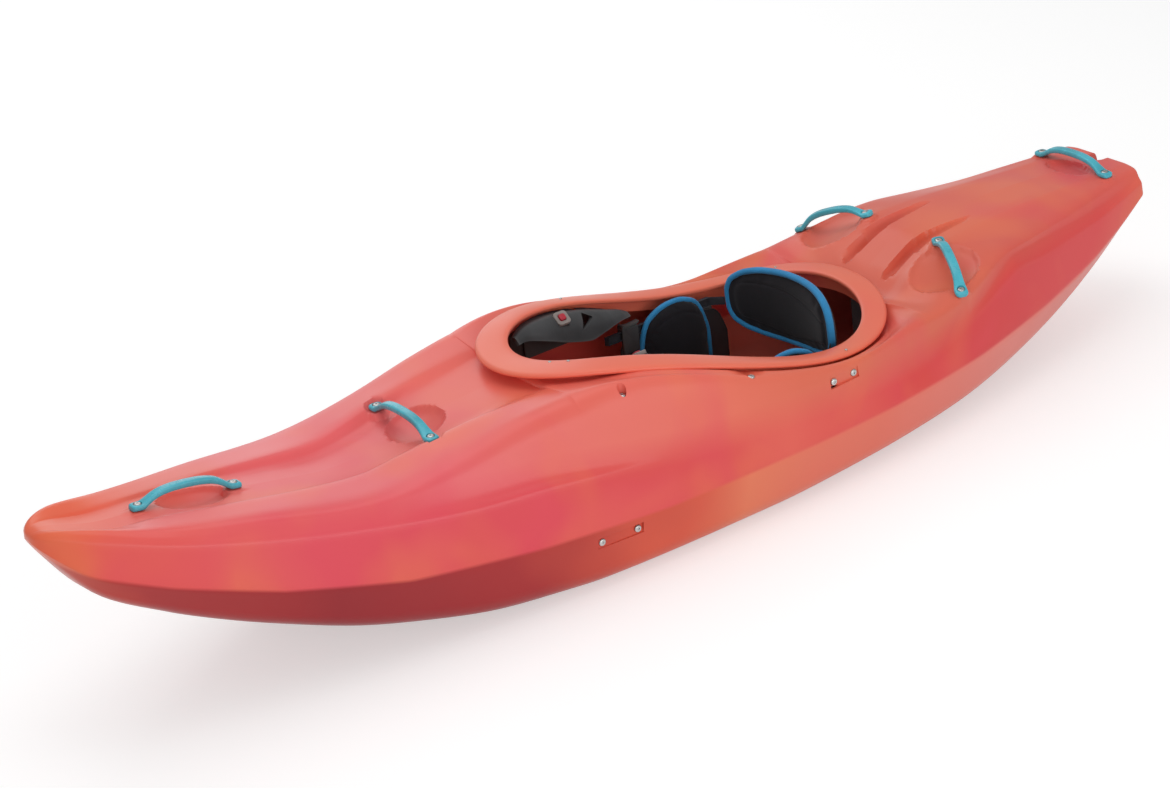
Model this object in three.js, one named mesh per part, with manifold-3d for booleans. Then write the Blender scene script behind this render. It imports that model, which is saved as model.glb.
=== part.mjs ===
// A whitewater kayak: a moulded shell with grab handles; the seat, backrest, thigh braces and footrest inside.
// Millimetres, +Z up, bow toward -Y, port side toward +X, origin on the floor under the middle of the length.
import * as THREE from 'three';
import Module from 'manifold-3d';
import { mergeVertices } from 'three/addons/utils/BufferGeometryUtils.js';

const wasm = await Module();
wasm.setup();

// Driving dimensions
const overallLength = 2740;
const beam = 664;
const deckHeight = 450;
const wall = 6;
const cockpitLengthShare = 0.29854;
const cockpitBreadthShare = 0.64458;
const clearance = 0.3;
const overrun = 6;

// Rim round the cockpit
const neckInset = 28;
const neckHeight = 34;
const lipReach = 54;
const lipThickness = 12;
const cockpitPlaceShare = 0.097;
const rimBreadthShares = [-0.229, 0.147];
const rimHeightShares = [0.76, 0.169, 0.033, -0.049];
const lipShares = [0.148, 0.185];
const neckSlopeShare = 0.235;

// Ends of the shell
const bowRound = 105;
const sternRound = 16;
const bowTipShare = 0.955;
const sternTipShare = 0.667;

// Feature lines of the half section. Rows hold shares of half the length, half the beam and the deck height.
const keelShares = [
  [-1, 0, 0.87], [-0.95, 0, 0.685], [-0.855, 0, 0.475], [-0.775, 0, 0.355], [-0.695, 0, 0.26],
  [-0.6, 0, 0.16], [-0.51, 0, 0.095], [-0.41, 0, 0.035], [-0.305, 0, 0.005], [-0.22, 0, 0],
  [0.09, 0, 0], [0.22, 0, 0.01], [0.365, 0, 0.025], [0.51, 0, 0.06], [0.655, 0, 0.125],
  [0.765, 0, 0.21], [0.875, 0, 0.335], [0.955, 0, 0.47], [1, 0, 0.56],
];
const chineShares = [
  [-1, 0.14, 0.885], [-0.95, 0.215, 0.705], [-0.855, 0.35, 0.515], [-0.775, 0.45, 0.395],
  [-0.695, 0.55, 0.295], [-0.6, 0.64, 0.185], [-0.51, 0.715, 0.11], [-0.41, 0.79, 0.045],
  [-0.305, 0.845, 0.015], [-0.22, 0.88, 0], [-0.075, 0.91, 0], [0.09, 0.915, 0],
  [0.22, 0.905, 0.015], [0.365, 0.86, 0.035], [0.51, 0.775, 0.065], [0.655, 0.65, 0.14],
  [0.765, 0.535, 0.22], [0.875, 0.43, 0.35], [0.955, 0.36, 0.48], [1, 0.33, 0.57],
];
const seamShares = [
  [-1, 0.205, 0.895], [-0.95, 0.295, 0.795], [-0.855, 0.445, 0.67], [-0.71, 0.615, 0.52],
  [-0.535, 0.775, 0.395], [-0.33, 0.905, 0.335], [-0.125, 0.975, 0.305], [0.095, 1, 0.305],
  [0.315, 0.965, 0.305], [0.52, 0.865, 0.325], [0.695, 0.715, 0.37], [0.84, 0.565, 0.44],
  [0.935, 0.46, 0.525], [1, 0.4, 0.615],
];
const edgeShares = [
  [-1, 0.18, 0.985], [-0.95, 0.26, 0.945], [-0.855, 0.41, 0.855], [-0.71, 0.57, 0.74],
  [-0.535, 0.725, 0.645], [-0.41, 0.8, 0.6], [-0.305, 0.855, 0.585], [-0.195, 0.905, 0.55],
  [-0.075, 0.945, 0.5], [0.095, 0.975, 0.46], [0.315, 0.92, 0.42], [0.41, 0.88, 0.425],
  [0.465, 0.855, 0.475], [0.535, 0.815, 0.54], [0.595, 0.765, 0.605], [0.635, 0.73, 0.64],
  [0.7, 0.67, 0.62], [0.84, 0.53, 0.615], [0.935, 0.445, 0.64], [1, 0.39, 0.67],
];
const ledgeShares = [
  [-1, 0.155, 1], [-0.95, 0.23, 0.975], [-0.855, 0.38, 0.885], [-0.71, 0.54, 0.775],
  [-0.535, 0.685, 0.685], [-0.41, 0.745, 0.635], [-0.305, 0.795, 0.615], [-0.195, 0.875, 0.58],
  [-0.075, 0.93, 0.56], [0.095, 0.945, 0.58], [0.315, 0.905, 0.5], [0.41, 0.86, 0.51],
  [0.465, 0.845, 0.535], [0.535, 0.795, 0.58], [0.595, 0.725, 0.645], [0.635, 0.67, 0.68],
  [0.7, 0.6, 0.67], [0.84, 0.48, 0.645], [0.935, 0.405, 0.66], [1, 0.365, 0.695],
];
const shoulderShares = [
  [-1, 0.12, 1.015], [-0.95, 0.195, 0.99], [-0.855, 0.325, 0.915], [-0.71, 0.48, 0.84],
  [-0.535, 0.61, 0.765], [-0.41, 0.65, 0.8], [-0.29, 0.685, 0.87], [-0.175, 0.74, 0.9],
  [-0.095, 0.795, 0.875], [0, 0.855, 0.795], [0.075, 0.885, 0.71], [0.145, 0.905, 0.65],
  [0.25, 0.91, 0.6], [0.37, 0.86, 0.635], [0.49, 0.83, 0.66], [0.615, 0.675, 0.73],
  [0.68, 0.615, 0.72], [0.765, 0.525, 0.715], [0.86, 0.44, 0.725], [1, 0.335, 0.73],
];
const riseShares = [
  [-1, 0.07, 1.02], [-0.91, 0.155, 0.93], [-0.82, 0.185, 0.895], [-0.715, 0.24, 0.85],
  [-0.62, 0.27, 0.805], [-0.525, 0.29, 0.775], [-0.46, 0.315, 0.805], [-0.41, 0.345, 0.83],
  [-0.36, 0.365, 0.845], [-0.275, 0.405, 0.86], [-0.225, 0.42, 0.865], [0.425, 0.45, 0.61],
  [0.48, 0.42, 0.705], [0.555, 0.375, 0.77], [0.655, 0.33, 0.775], [0.765, 0.285, 0.765],
  [0.875, 0.255, 0.75], [1, 0.24, 0.74],
];
const troughShares = [
  [-1, 0.055, 1.02], [-0.91, 0.135, 0.915], [-0.82, 0.155, 0.88], [-0.715, 0.205, 0.825],
  [-0.62, 0.225, 0.77], [-0.525, 0.24, 0.725], [-0.46, 0.26, 0.74], [-0.41, 0.275, 0.765],
  [-0.36, 0.295, 0.8], [-0.275, 0.315, 0.83], [-0.225, 0.33, 0.84], [0.425, 0.3, 0.58],
  [0.48, 0.3, 0.68], [0.555, 0.27, 0.765], [0.655, 0.24, 0.78], [0.765, 0.21, 0.77],
  [0.875, 0.18, 0.75], [1, 0.15, 0.74],
];
const crownShares = [
  [-1, 0, 1.02], [-0.91, 0, 0.92], [-0.82, 0, 0.885], [-0.715, 0, 0.835], [-0.62, 0, 0.775],
  [-0.525, 0, 0.73], [-0.46, 0, 0.74], [-0.41, 0, 0.77], [-0.36, 0, 0.8], [-0.275, 0, 0.825],
  [-0.225, 0, 0.835], [0.425, 0, 0.58], [0.48, 0, 0.67], [0.555, 0, 0.77], [0.655, 0, 0.78],
  [0.765, 0, 0.775], [0.875, 0, 0.755], [1, 0, 0.74],
];
// Corners between the keel and the crown: how much of each side is rounded, and points outside and inside.
const featureLines = [
  { rows: keelShares },
  { rows: chineShares, softShare: 0.32, outside: 3, inside: 2 },
  { rows: seamShares, softShare: 0.1, outside: 1, inside: 1 },
  { rows: edgeShares, softShare: 0.14, outside: 1, inside: 1 },
  { rows: ledgeShares, softShare: 0.2, outside: 2, inside: 1 },
  { rows: shoulderShares, softShare: 0.38, outside: 3, inside: 2 },
  { rows: riseShares, softShare: 0.22, outside: 2, inside: 1 },
  { rows: troughShares, softShare: 0.22, outside: 2, inside: 1 },
  { rows: crownShares },
];
const riseRow = 6;
const shoulderRow = 5;

// Hollows in the deck: place as shares, then half sizes
const dishes = [
  { ahead: -0.755, aside: 0, halfWidth: 46, halfLength: 72, depth: 24 },
  { ahead: -0.391, aside: 0, halfWidth: 62, halfLength: 60, depth: 24 },
  { ahead: 0.516, aside: 0.545, halfWidth: 68, halfLength: 80, depth: 24 },
  { ahead: 0.516, aside: -0.545, halfWidth: 68, halfLength: 80, depth: 24 },
  { ahead: 0.915, aside: 0, halfWidth: 60, halfLength: 34, depth: 15 },
];

// The two long grooves over the brow of the rear deck: place, then shares of the half width and the depth
const grooveHalfWidth = 19;
const grooveDepth = 19;
const grooveAsideShare = 0.2;
const grooveShares = [
  [0.46, 0.3, 0.1], [0.468, 0.62, 0.42], [0.49, 0.8, 0.78], [0.52, 0.95, 1], [0.55, 1, 0.95],
  [0.585, 0.85, 0.6], [0.62, 0.55, 0.3], [0.648, 0.2, 0.08],
];

// Grab handles
const handleSpacing = 202;
const rearHandleSpacing = 168;
const handleWidth = 26;
const handleThickness = 13;
const handleLift = 24;
const handleFootLength = 15;
const handleFootRise = 1;
const padRadius = 19;
const padDepth = 16;
const padRoomWidth = 2;

// Fasteners
const boltRadius = 4;
const boltHeadRadius = 8;
const boltHeadHeight = 4.5;
const boltFit = 0.35;
const boltGrip = 30;
const boltSides = 8;
const seatSink = 0.5;
const headRoom = 1;
const bossRadius = 13;
const bossStand = 4;
const pocketHalfHeight = 12;
const pocketDepth = 2.5;
const padSides = 10;

// Drain plug
const plugHeadRadius = 17;
const plugHeadHeight = 9;
const plugStemRadius = 8.5;
const plugStemLength = 20;
const socketWall = 3;
const socketFlange = 3;
const notchHalfWidth = 23;
const notchDepth = 30;
const plugInset = 25;

// Footrest
const railThickness = 6;
const railHeight = 26;
const railBoltSpacing = 83;
const railBoltPlaceShare = -0.208;
const railBoltHeightShare = 0.253;
const railFrontShare = -0.65;
const railFrontStandoff = 14;
const railBendLength = 80;
const railSlope = 0.2;
const slotHeight = 9;
const footrestPlaceShare = -0.511;
const footrestForward = 80;
const footrestAft = 100;
const plateThickness = 8;
const plateTopMargin = 16;
const plateFloorMargin = 14;
const plateCorner = 52;
const footFoamThickness = 24;
const clampKnobRadius = 15;
const clampKnobLength = 12;
const clampBlock = 26;

// Foam pillars
const frontPillarWidth = 60;
const rearPillarWidth = 70;
const frontPillarShares = [-0.86, -0.63];
const rearPillarShares = [0.45, 0.85];
const pillarCutRadius = 34;
const pillarFit = 0.8;

// Thigh braces
const braceThickness = 7;
const braceTravel = 15;
const braceLegPlaceShare = 0.6988;
const braceLegThickness = 5;
const braceLegDrop = 46;
const braceTabThickness = 7;
const mountFlange = 5;
const mountGap = 1.9;
const mountFlangeHalfWidth = 17;
const catchSide = 32;
const catchHeight = 9;
const buttonSide = 15;
const buttonProud = 3.5;
const buttonTravel = 3;

// Seat
const seatBreadthShare = 0.63855;
const seatWall = 5;
const seatTravel = 20;
const seatFloorCorner = 46;
const seatPadThickness = 12;
const hipPadThickness = 26;
const hangerThickness = 5;
const hangerGap = 1;
const hangerLegShare = 0.152;
const hangerArmShare = 0.08175;
const hangerBoltSpacing = 56;
const hangerBoltPlaceShare = 0.226;
const hangerBoltMargin = 14.45;

// Backrest
const bandBreadthShare = 0.5482;
const bandThickness = 28;
const bandHeightShare = 0.37333;
const bandWrap = 42;
const bandPlaceShare = 0.3124;
const bandBottomShare = 0.40444;
const bandTravelForward = 25;
const bandTravelAft = 10;
const strapWidth = 20;
const strapThickness = 2;
const ratchetWidth = 18;
const ratchetCover = 3.5;
const leverBarrel = 4.6;
const earThickness = 2.6;
const pinRadius = 1.8;

const halfLength = overallLength / 2;
const halfBeam = beam / 2;
const cockpitHalf = cockpitLengthShare * halfLength;
const cockpitWidth = cockpitBreadthShare * beam;
const cockpitCentre = cockpitPlaceShare * halfLength;
const braceLegX = braceLegPlaceShare * halfBeam;
const seatHalfWidth = seatBreadthShare * halfBeam;
const hangerLegLength = hangerLegShare * halfLength;
const hangerArmLength = hangerArmShare * halfLength;
const bandHalfWidth = bandBreadthShare * halfBeam;
const bandHeight = bandHeightShare * deckHeight;
const bandPlace = bandPlaceShare * halfLength;
const bandBottom = bandBottomShare * deckHeight;
const sideNames = [['port', 1], ['starboard', -1]];

// Materials
const finish = (color, roughness, metalness = 0) => new THREE.MeshStandardMaterial(
  { color, roughness, metalness });
const shellFinish = finish(0xe0695a, 0.45);
const handleFinish = finish(0x3ca5b9, 0.4);
const steelFinish = finish(0xc8cacc, 0.3, 1);
const plugFinish = finish(0x7d1420, 0.5);
const socketFinish = finish(0x2a2a2c, 0.6);
const railFinish = finish(0xa8abad, 0.4, 1);
const plasticFinish = finish(0x3a3a3c, 0.6);
const catchFinish = finish(0x86807e, 0.6);
const buttonFinish = finish(0x961e2d, 0.5);
const foamFinish = finish(0x2c2c2e, 0.95);
const greyFoamFinish = finish(0x6a6d70, 0.95);
const fabricFinish = finish(0x141416, 0.9);
const webbingFinish = finish(0x2e2e30, 0.9);

// Helpers for solids

// A bare geometry from points and triangles.
function bare(points, faces) {
  const geometry = new THREE.BufferGeometry();
  geometry.setAttribute('position', new THREE.Float32BufferAttribute(points.flat(), 3));
  geometry.setIndex(faces.flat());
  return geometry;
}

// A manifold solid from a closed geometry, with its faces turned outward.
function solid(geometry, matrix) {
  const loose = geometry.index ? geometry.toNonIndexed() : geometry.clone();
  const only = new THREE.BufferGeometry().setAttribute('position', loose.getAttribute('position'));
  if (matrix) only.applyMatrix4(matrix);
  const merged = mergeVertices(only, 1e-3);
  const index = merged.index.array;
  const at = merged.attributes.position;
  const a = new THREE.Vector3();
  const b = new THREE.Vector3();
  const c = new THREE.Vector3();
  const kept = [];
  let volume = 0;
  for (let i = 0; i < index.length; i += 3) {
    const [p, q, r] = [index[i], index[i + 1], index[i + 2]];
    if (p === q || q === r || r === p) continue;
    kept.push(p, q, r);
    b.fromBufferAttribute(at, q).cross(c.fromBufferAttribute(at, r));
    volume += a.fromBufferAttribute(at, p).dot(b);
  }
  if (volume < 0) kept.reverse();
  const mesh = new wasm.Mesh({ numProp: 3, vertProperties: at.array, triVerts: new Uint32Array(kept) });
  return new wasm.Manifold(mesh);
}

// The geometry of a manifold solid.
function geometryOf(made) {
  const mesh = made.getMesh();
  const points = [];
  for (let i = 0; i < mesh.numVert; i++) {
    const k = i * mesh.numProp;
    points.push(mesh.vertProperties[k], mesh.vertProperties[k + 1], mesh.vertProperties[k + 2]);
  }
  const geometry = new THREE.BufferGeometry();
  geometry.setAttribute('position', new THREE.Float32BufferAttribute(points, 3));
  geometry.setIndex([...mesh.triVerts]);
  geometry.computeVertexNormals();
  return geometry;
}

const union = (solids) => solids.reduce((all, one) => all.add(one));
const cut = (body, cutters) => cutters.reduce((left, one) => left.subtract(one), body);

// The main body of a cut, without the crumbs that slanted facets can leave at its edges.
const mainBody = (made) => made.decompose().reduce((most, one) => (one.volume() > most.volume() ? one : most));

// Triangles that close a ring, drawn in the plane that it faces.
function capFaces(ring, first) {
  const normal = new THREE.Vector3();
  ring.forEach((p, i) => {
    const q = ring[(i + 1) % ring.length];
    normal.x += (p[1] - q[1]) * (p[2] + q[2]);
    normal.y += (p[2] - q[2]) * (p[0] + q[0]);
    normal.z += (p[0] - q[0]) * (p[1] + q[1]);
  });
  if (normal.length() < 1e-3) return [];
  const size = normal.toArray().map(Math.abs);
  const dropped = size.indexOf(Math.max(...size));
  const [u, v] = [0, 1, 2].filter((k) => k !== dropped);
  const flat = ring.map((p) => new THREE.Vector2(p[u], p[v]));
  const triangles = THREE.ShapeUtils.triangulateShape(flat, []);
  const area = THREE.ShapeUtils.area(flat);
  return triangles.map((t) => {
    const turned = THREE.ShapeUtils.area(t.map((k) => flat[k])) * area < 0 ? [t[0], t[2], t[1]] : t;
    return turned.map((k) => k + first);
  });
}

// A closed solid through rings of points that all hold the same count.
function loft(rings) {
  const count = rings[0].length;
  const faces = [];
  for (let i = 0; i < rings.length - 1; i++) {
    for (let j = 0; j < count; j++) {
      const near = i * count + j;
      const next = i * count + ((j + 1) % count);
      faces.push([near, next, next + count], [near, next + count, near + count]);
    }
  }
  faces.push(...capFaces(rings[0], 0).map((t) => [t[0], t[2], t[1]]));
  faces.push(...capFaces(rings[rings.length - 1], (rings.length - 1) * count));
  return solid(bare(rings.flat(), faces));
}

// An outline in one plane pushed straight along the third axis.
const prismX = (outline, from, to) => loft([from, to].map((x) => outline.map(([y, z]) => [x, y, z])));
const prismY = (outline, from, to) => loft([from, to].map((y) => outline.map(([x, z]) => [x, y, z])));
const prismZ = (outline, from, to) => loft([from, to].map((z) => outline.map(([x, y]) => [x, y, z])));
const block = (x, y, z) => prismZ([[x[0], y[0]], [x[1], y[0]], [x[1], y[1]], [x[0], y[1]]], z[0], z[1]);

const matrixAt = (place, quaternion) => new THREE.Matrix4().compose(
  new THREE.Vector3(...place), quaternion ?? new THREE.Quaternion(), new THREE.Vector3(1, 1, 1));
const turnTo = (axis) => new THREE.Quaternion().setFromUnitVectors(
  new THREE.Vector3(0, 0, 1), new THREE.Vector3(...axis).normalize());

// A round bar between two distances from a place, along an axis.
function rod(place, axis, radius, from, to, sides = 12) {
  const shape = new THREE.CylinderGeometry(radius, radius, to - from, sides).rotateX(Math.PI / 2);
  shape.translate(0, 0, (from + to) / 2);
  return solid(shape, matrixAt(place, turnTo(axis)));
}

// A solid of revolution about +Z from pairs of radius and height.
function turned(profile, sides) {
  const points = profile.map(([r, z]) => new THREE.Vector2(r, z));
  return new THREE.LatheGeometry(points, sides).rotateX(Math.PI / 2);
}

// The outline of a rounded rectangle about its centre.
function roundedOutline(halfA, halfB, corner, steps = 3) {
  const outline = [];
  [[1, 1], [-1, 1], [-1, -1], [1, -1]].forEach(([sa, sb], k) => {
    for (let i = 0; i <= steps; i++) {
      const angle = (Math.PI / 2) * (k + i / steps);
      const [a, b] = [corner * Math.cos(angle), corner * Math.sin(angle)];
      outline.push([sa * (halfA - corner) + a, sb * (halfB - corner) + b]);
    }
  });
  return outline;
}

const mirrorX = (geometry) => {
  const copy = geometry.index ? geometry.toNonIndexed() : geometry.clone();
  const at = copy.attributes.position;
  const flipped = new Float32Array(at.array.length);
  for (let i = 0; i < at.count; i += 3) {
    [0, 2, 1].forEach((from, to) => {
      flipped.set([-at.getX(i + from), at.getY(i + from), at.getZ(i + from)], (i + to) * 3);
    });
  }
  return new THREE.BufferGeometry().setAttribute('position', new THREE.BufferAttribute(flipped, 3));
};
const mirrored = (made) => solid(mirrorX(geometryOf(made)));
const sided = (made, side) => (side > 0 ? made : mirrored(made));

// Smooth line through rows of places, without overshoot.
function along(rows, column, share) {
  let i = 0;
  while (i < rows.length - 2 && rows[i + 1][0] < share) i++;
  const slopeOf = (k) => (rows[k + 1][column] - rows[k][column]) / (rows[k + 1][0] - rows[k][0]);
  const tangent = (k) => {
    if (k === 0) return slopeOf(0);
    if (k === rows.length - 1) return slopeOf(k - 1);
    const [before, after] = [slopeOf(k - 1), slopeOf(k)];
    if (before * after <= 0) return 0;
    const [a, b] = [rows[k][0] - rows[k - 1][0], rows[k + 1][0] - rows[k][0]];
    const mean = (before * b + after * a) / (a + b);
    return Math.sign(mean) * Math.min(Math.abs(mean), 3 * Math.min(Math.abs(before), Math.abs(after)));
  };
  const span = rows[i + 1][0] - rows[i][0];
  const t = (share - rows[i][0]) / span;
  const [t2, t3] = [t * t, t * t * t];
  return (2 * t3 - 3 * t2 + 1) * rows[i][column] + (t3 - 2 * t2 + t) * span * tangent(i)
    + (3 * t2 - 2 * t3) * rows[i + 1][column] + (t3 - t2) * span * tangent(i + 1);
}

// Rim curve: the share c runs from 1 at the front of the cockpit to -1 at the back.
function rimHalf(c, offset) {
  const s = Math.sqrt(Math.max(0, 1 - c * c));
  const [lean, pinch] = rimBreadthShares;
  const swell = (1 + lean * c + pinch * (2 * c * c - 1)) / (1 - pinch);
  return (cockpitWidth / 2) * s * swell + offset * s;
}

function rimHeight(c) {
  const angle = Math.acos(THREE.MathUtils.clamp(c, -1, 1));
  return deckHeight * rimHeightShares.reduce((sum, share, k) => sum + share * Math.cos(k * angle), 0);
}

const rimShareAt = (y, offset) => (cockpitCentre - y) / (cockpitHalf + offset);
const lipAt = (c) => lipReach * (1 + lipShares[0] * c + lipShares[1] * c * c);
const neckFootDrop = (c) => -neckHeight * (1 - neckSlopeShare * c);

// One ring of the rim at an offset outward from the cockpit's edge, and a drop below the crown of the rim.
function rimRing(count, offsetOf, dropOf) {
  return Array.from({ length: count }, (_, k) => {
    const angle = (2 * Math.PI * k) / count;
    const [c, s] = [Math.cos(angle), Math.sin(angle)];
    const offset = offsetOf(c);
    const half = rimHalf(c, 0) * Math.sign(s) + offset * s;
    return [half, cockpitCentre - (cockpitHalf + offset) * c, rimHeight(c) + dropOf(c)];
  });
}

// How much of the section is left at each station, so that both ends close.
function endShare(y) {
  const bow = (-y - (halfLength - bowRound)) / bowRound;
  if (bow > 0) return Math.max(0, 1 - Math.min(bow, 1) ** 2.6) ** (1 / 2.4);
  const stern = (y - (halfLength - sternRound)) / sternRound;
  return stern > 0 ? Math.max(0, 1 - Math.min(stern, 1) ** 2.5) ** (1 / 2.5) : 1;
}

// Corners of the half section at a station, from the keel to the crown or to the neck of the rim.
function corners(y) {
  const share = y / halfLength;
  const closing = endShare(y);
  const tip = (y < 0 ? bowTipShare : sternTipShare) * deckHeight;
  const points = featureLines.map(({ rows }) => {
    const x = along(rows, 1, share) * halfBeam * closing;
    return [x, tip + (along(rows, 2, share) * deckHeight - tip) * closing];
  });
  const c = rimShareAt(y, neckInset);
  if (Math.abs(c) >= 1) return points;
  const neck = [rimHalf(c, neckInset), rimHeight(c) + neckFootDrop(c)];
  const shoulder = points[shoulderRow];
  const weight = Math.min(1, neck[0] / (2 * neckInset));
  [[0.45, 0.35], [0.2, 0.05]].forEach(([acrossShare, upShare], k) => {
    const between = [acrossShare, upShare].map((part, n) => neck[n] + (shoulder[n] - neck[n]) * part);
    points[riseRow + k] = points[riseRow + k].map((v, n) => v * (1 - weight) + between[n] * weight);
  });
  points[points.length - 1] = neck;
  return points;
}

// The half section with its corners rounded by short parabolas.
function halfSection(y, which) {
  const points = corners(y);
  const outline = [points[0]];
  for (let k = 1; k < points.length - 1; k++) {
    const { softShare, [which]: steps } = featureLines[k];
    const [before, here, after] = [points[k - 1], points[k], points[k + 1]];
    const start = here.map((v, n) => v + (before[n] - v) * softShare);
    const end = here.map((v, n) => v + (after[n] - v) * softShare);
    for (let i = 0; i < steps; i++) {
      const t = steps > 1 ? i / (steps - 1) : 1 / 2;
      outline.push([0, 1].map((n) => (1 - t) ** 2 * start[n] + 2 * t * (1 - t) * here[n] + t * t * end[n]));
    }
  }
  outline.push(points[points.length - 1]);
  return outline;
}

// The half section of the hollow, each point drawn toward the middle until the wall is left.
function hollowSection(y) {
  const outline = halfSection(y, 'inside');
  const middle = [0, (outline[0][1] + outline[outline.length - 1][1]) / 2];
  const moved = outline.map((p, k) => {
    const ray = [p[0] - middle[0], p[1] - middle[1]];
    const reach = Math.hypot(...ray);
    const before = outline[Math.max(0, k - 1)];
    const after = outline[Math.min(outline.length - 1, k + 1)];
    const edge = [after[0] - before[0], after[1] - before[1]];
    const size = Math.hypot(...edge);
    const square = Math.abs(ray[0] * edge[1] - ray[1] * edge[0]) / (reach * size);
    const left = 1 - wall / Math.max(square, 0.45) / reach;
    return [middle[0] + ray[0] * left, middle[1] + ray[1] * left];
  });
  moved[0][0] = 0;
  if (outline[outline.length - 1][0] === 0) moved[moved.length - 1][0] = 0;
  return moved;
}

// A whole ring at one station from its half section.
function wholeRing(half, y) {
  const port = half.map(([x, z]) => [x, y, z]);
  const starboard = half.slice(1).reverse().map(([x, z]) => [-x, y, z]);
  return [...port, ...starboard];
}

// Stations along the boat, closer together at the ends and round the ends of the cockpit.
function stations(first, last, bowCount, cockpitCount, sternCount) {
  const front = cockpitCentre - cockpitHalf - neckInset;
  const back = cockpitCentre + cockpitHalf + neckInset;
  const list = [];
  for (let k = 0; k < bowCount; k++) {
    list.push(first + (front - first) * (1 - Math.cos((Math.PI / 2) * (k / bowCount))));
  }
  for (let k = 0; k < cockpitCount; k++) {
    list.push(cockpitCentre - (cockpitHalf + neckInset) * Math.cos(Math.PI * (k / cockpitCount)));
  }
  for (let k = 0; k < sternCount; k++) list.push(back + (last - back) * (k / sternCount));
  list.push(last);
  return list;
}
const sternEndShares = [0, 0.55, 0.88, 1];
const outerStations = [
  ...stations(-halfLength, halfLength - sternRound, 15, 14, 10).slice(0, -1),
  ...sternEndShares.map((share) => halfLength - sternRound * (1 - share)),
];
const hollowStations = stations(-halfLength + 5 * wall, halfLength - 2 * wall, 11, 10, 8);

// The hollow's half section between two stations, as the faceted skin has it.
function skinInside(y) {
  let i = 0;
  while (i < hollowStations.length - 2 && hollowStations[i + 1] < y) i++;
  const [near, far] = [hollowSection(hollowStations[i]), hollowSection(hollowStations[i + 1])];
  const t = THREE.MathUtils.clamp((y - hollowStations[i]) / (hollowStations[i + 1] - hollowStations[i]), 0, 1);
  return near.map((p, k) => [p[0] + (far[k][0] - p[0]) * t, p[1] + (far[k][1] - p[1]) * t]);
}

// Heights or breadths where a half section crosses a line.
function crossings(outline, axis, value) {
  const found = [];
  for (let k = 0; k < outline.length - 1; k++) {
    const [p, q] = [outline[k], outline[k + 1]];
    if ((p[axis] - value) * (q[axis] - value) > 0 || p[axis] === q[axis]) continue;
    found.push(p[1 - axis] + ((q[1 - axis] - p[1 - axis]) * (value - p[axis])) / (q[axis] - p[axis]));
  }
  return found;
}
const deckTop = (x, y) => Math.max(...crossings(halfSection(y, 'outside'), 0, Math.abs(x)));
function deckUnder(x, y) {
  const skin = skinInside(y);
  if (Math.abs(x) < skin[skin.length - 1][0]) return Infinity;
  return Math.max(...crossings(skin, 0, Math.abs(x)));
}
const floorTop = (x, y) => Math.min(...crossings(skinInside(y), 0, Math.abs(x)));
const sideInside = (y, z) => Math.max(...crossings(skinInside(y), 1, z));
const sideOutside = (y, z) => Math.max(...crossings(halfSection(y, 'outside'), 1, z));
const rimEdge = (y) => {
  const c = rimShareAt(y, 0);
  return [rimHalf(c, 0), rimHeight(c)];
};

const model = new THREE.Group();
function add(name, made, material, place, quaternion, parent = model) {
  const mesh = new THREE.Mesh(made.isBufferGeometry ? made : geometryOf(made), material.clone());
  mesh.name = name;
  if (place) mesh.position.set(...place);
  if (quaternion) mesh.quaternion.copy(quaternion);
  parent.add(mesh);
  return mesh;
}

// Places where things are fastened to the shell

const bolt = turned([
  [0, -boltGrip], [boltRadius, -boltGrip], [boltRadius, 0], [boltHeadRadius, 0],
  [boltHeadRadius, boltHeadHeight * 0.45], [boltHeadRadius * 0.62, boltHeadHeight], [0, boltHeadHeight * 0.8],
], boltSides);

// Two feet on the deck give a handle's frame: X along the handle, Z square to its seats.
function handleFrame(near, far, spacing = handleSpacing) {
  const [a, b] = [near, far].map(([x, y]) => new THREE.Vector3(x, y, deckTop(x, y) + handleFootRise));
  const alongHandle = b.clone().sub(a).normalize();
  const middle = a.clone().add(b).multiplyScalar(1 / 2);
  const up = new THREE.Vector3(0, 0, 1).addScaledVector(alongHandle, -alongHandle.z).normalize();
  const across = up.clone().cross(alongHandle);
  const basis = new THREE.Matrix4().makeBasis(alongHandle, across, up);
  const turn = new THREE.Quaternion().setFromRotationMatrix(basis);
  const footAt = (end) => middle.clone().addScaledVector(alongHandle, (end * spacing) / 2).toArray();
  return { place: middle.toArray(), turn, axis: up.toArray(), feet: [footAt(-1), footAt(1)], spacing };
}
const halfSpan = handleSpacing / 2;
const rearHandleTurn = THREE.MathUtils.degToRad(154);
const rearSpanX = 0.46 * rearHandleSpacing * Math.cos(rearHandleTurn);
const rearSpanY = 0.46 * rearHandleSpacing * Math.sin(rearHandleTurn);
const rearHandleX = 0.578 * halfBeam;
const rearHandleY = 0.52 * halfLength;
const bowHandleY = -0.765 * halfLength;
const foreHandleY = -0.41 * halfLength;
const sternHandleY = 0.927 * halfLength;
const handles = {
  bow_handle: handleFrame([0, bowHandleY - halfSpan], [0, bowHandleY + halfSpan]),
  foredeck_handle: handleFrame([-halfSpan, foreHandleY], [halfSpan, foreHandleY]),
  stern_handle: handleFrame([-halfSpan * 0.92, sternHandleY], [halfSpan * 0.92, sternHandleY]),
  rear_handle_port: handleFrame(
    [rearHandleX - rearSpanX, rearHandleY - rearSpanY], [rearHandleX + rearSpanX, rearHandleY + rearSpanY],
    rearHandleSpacing),
  rear_handle_starboard: handleFrame(
    [-rearHandleX + rearSpanX, rearHandleY - rearSpanY], [-rearHandleX - rearSpanX, rearHandleY + rearSpanY],
    rearHandleSpacing),
};

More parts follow.
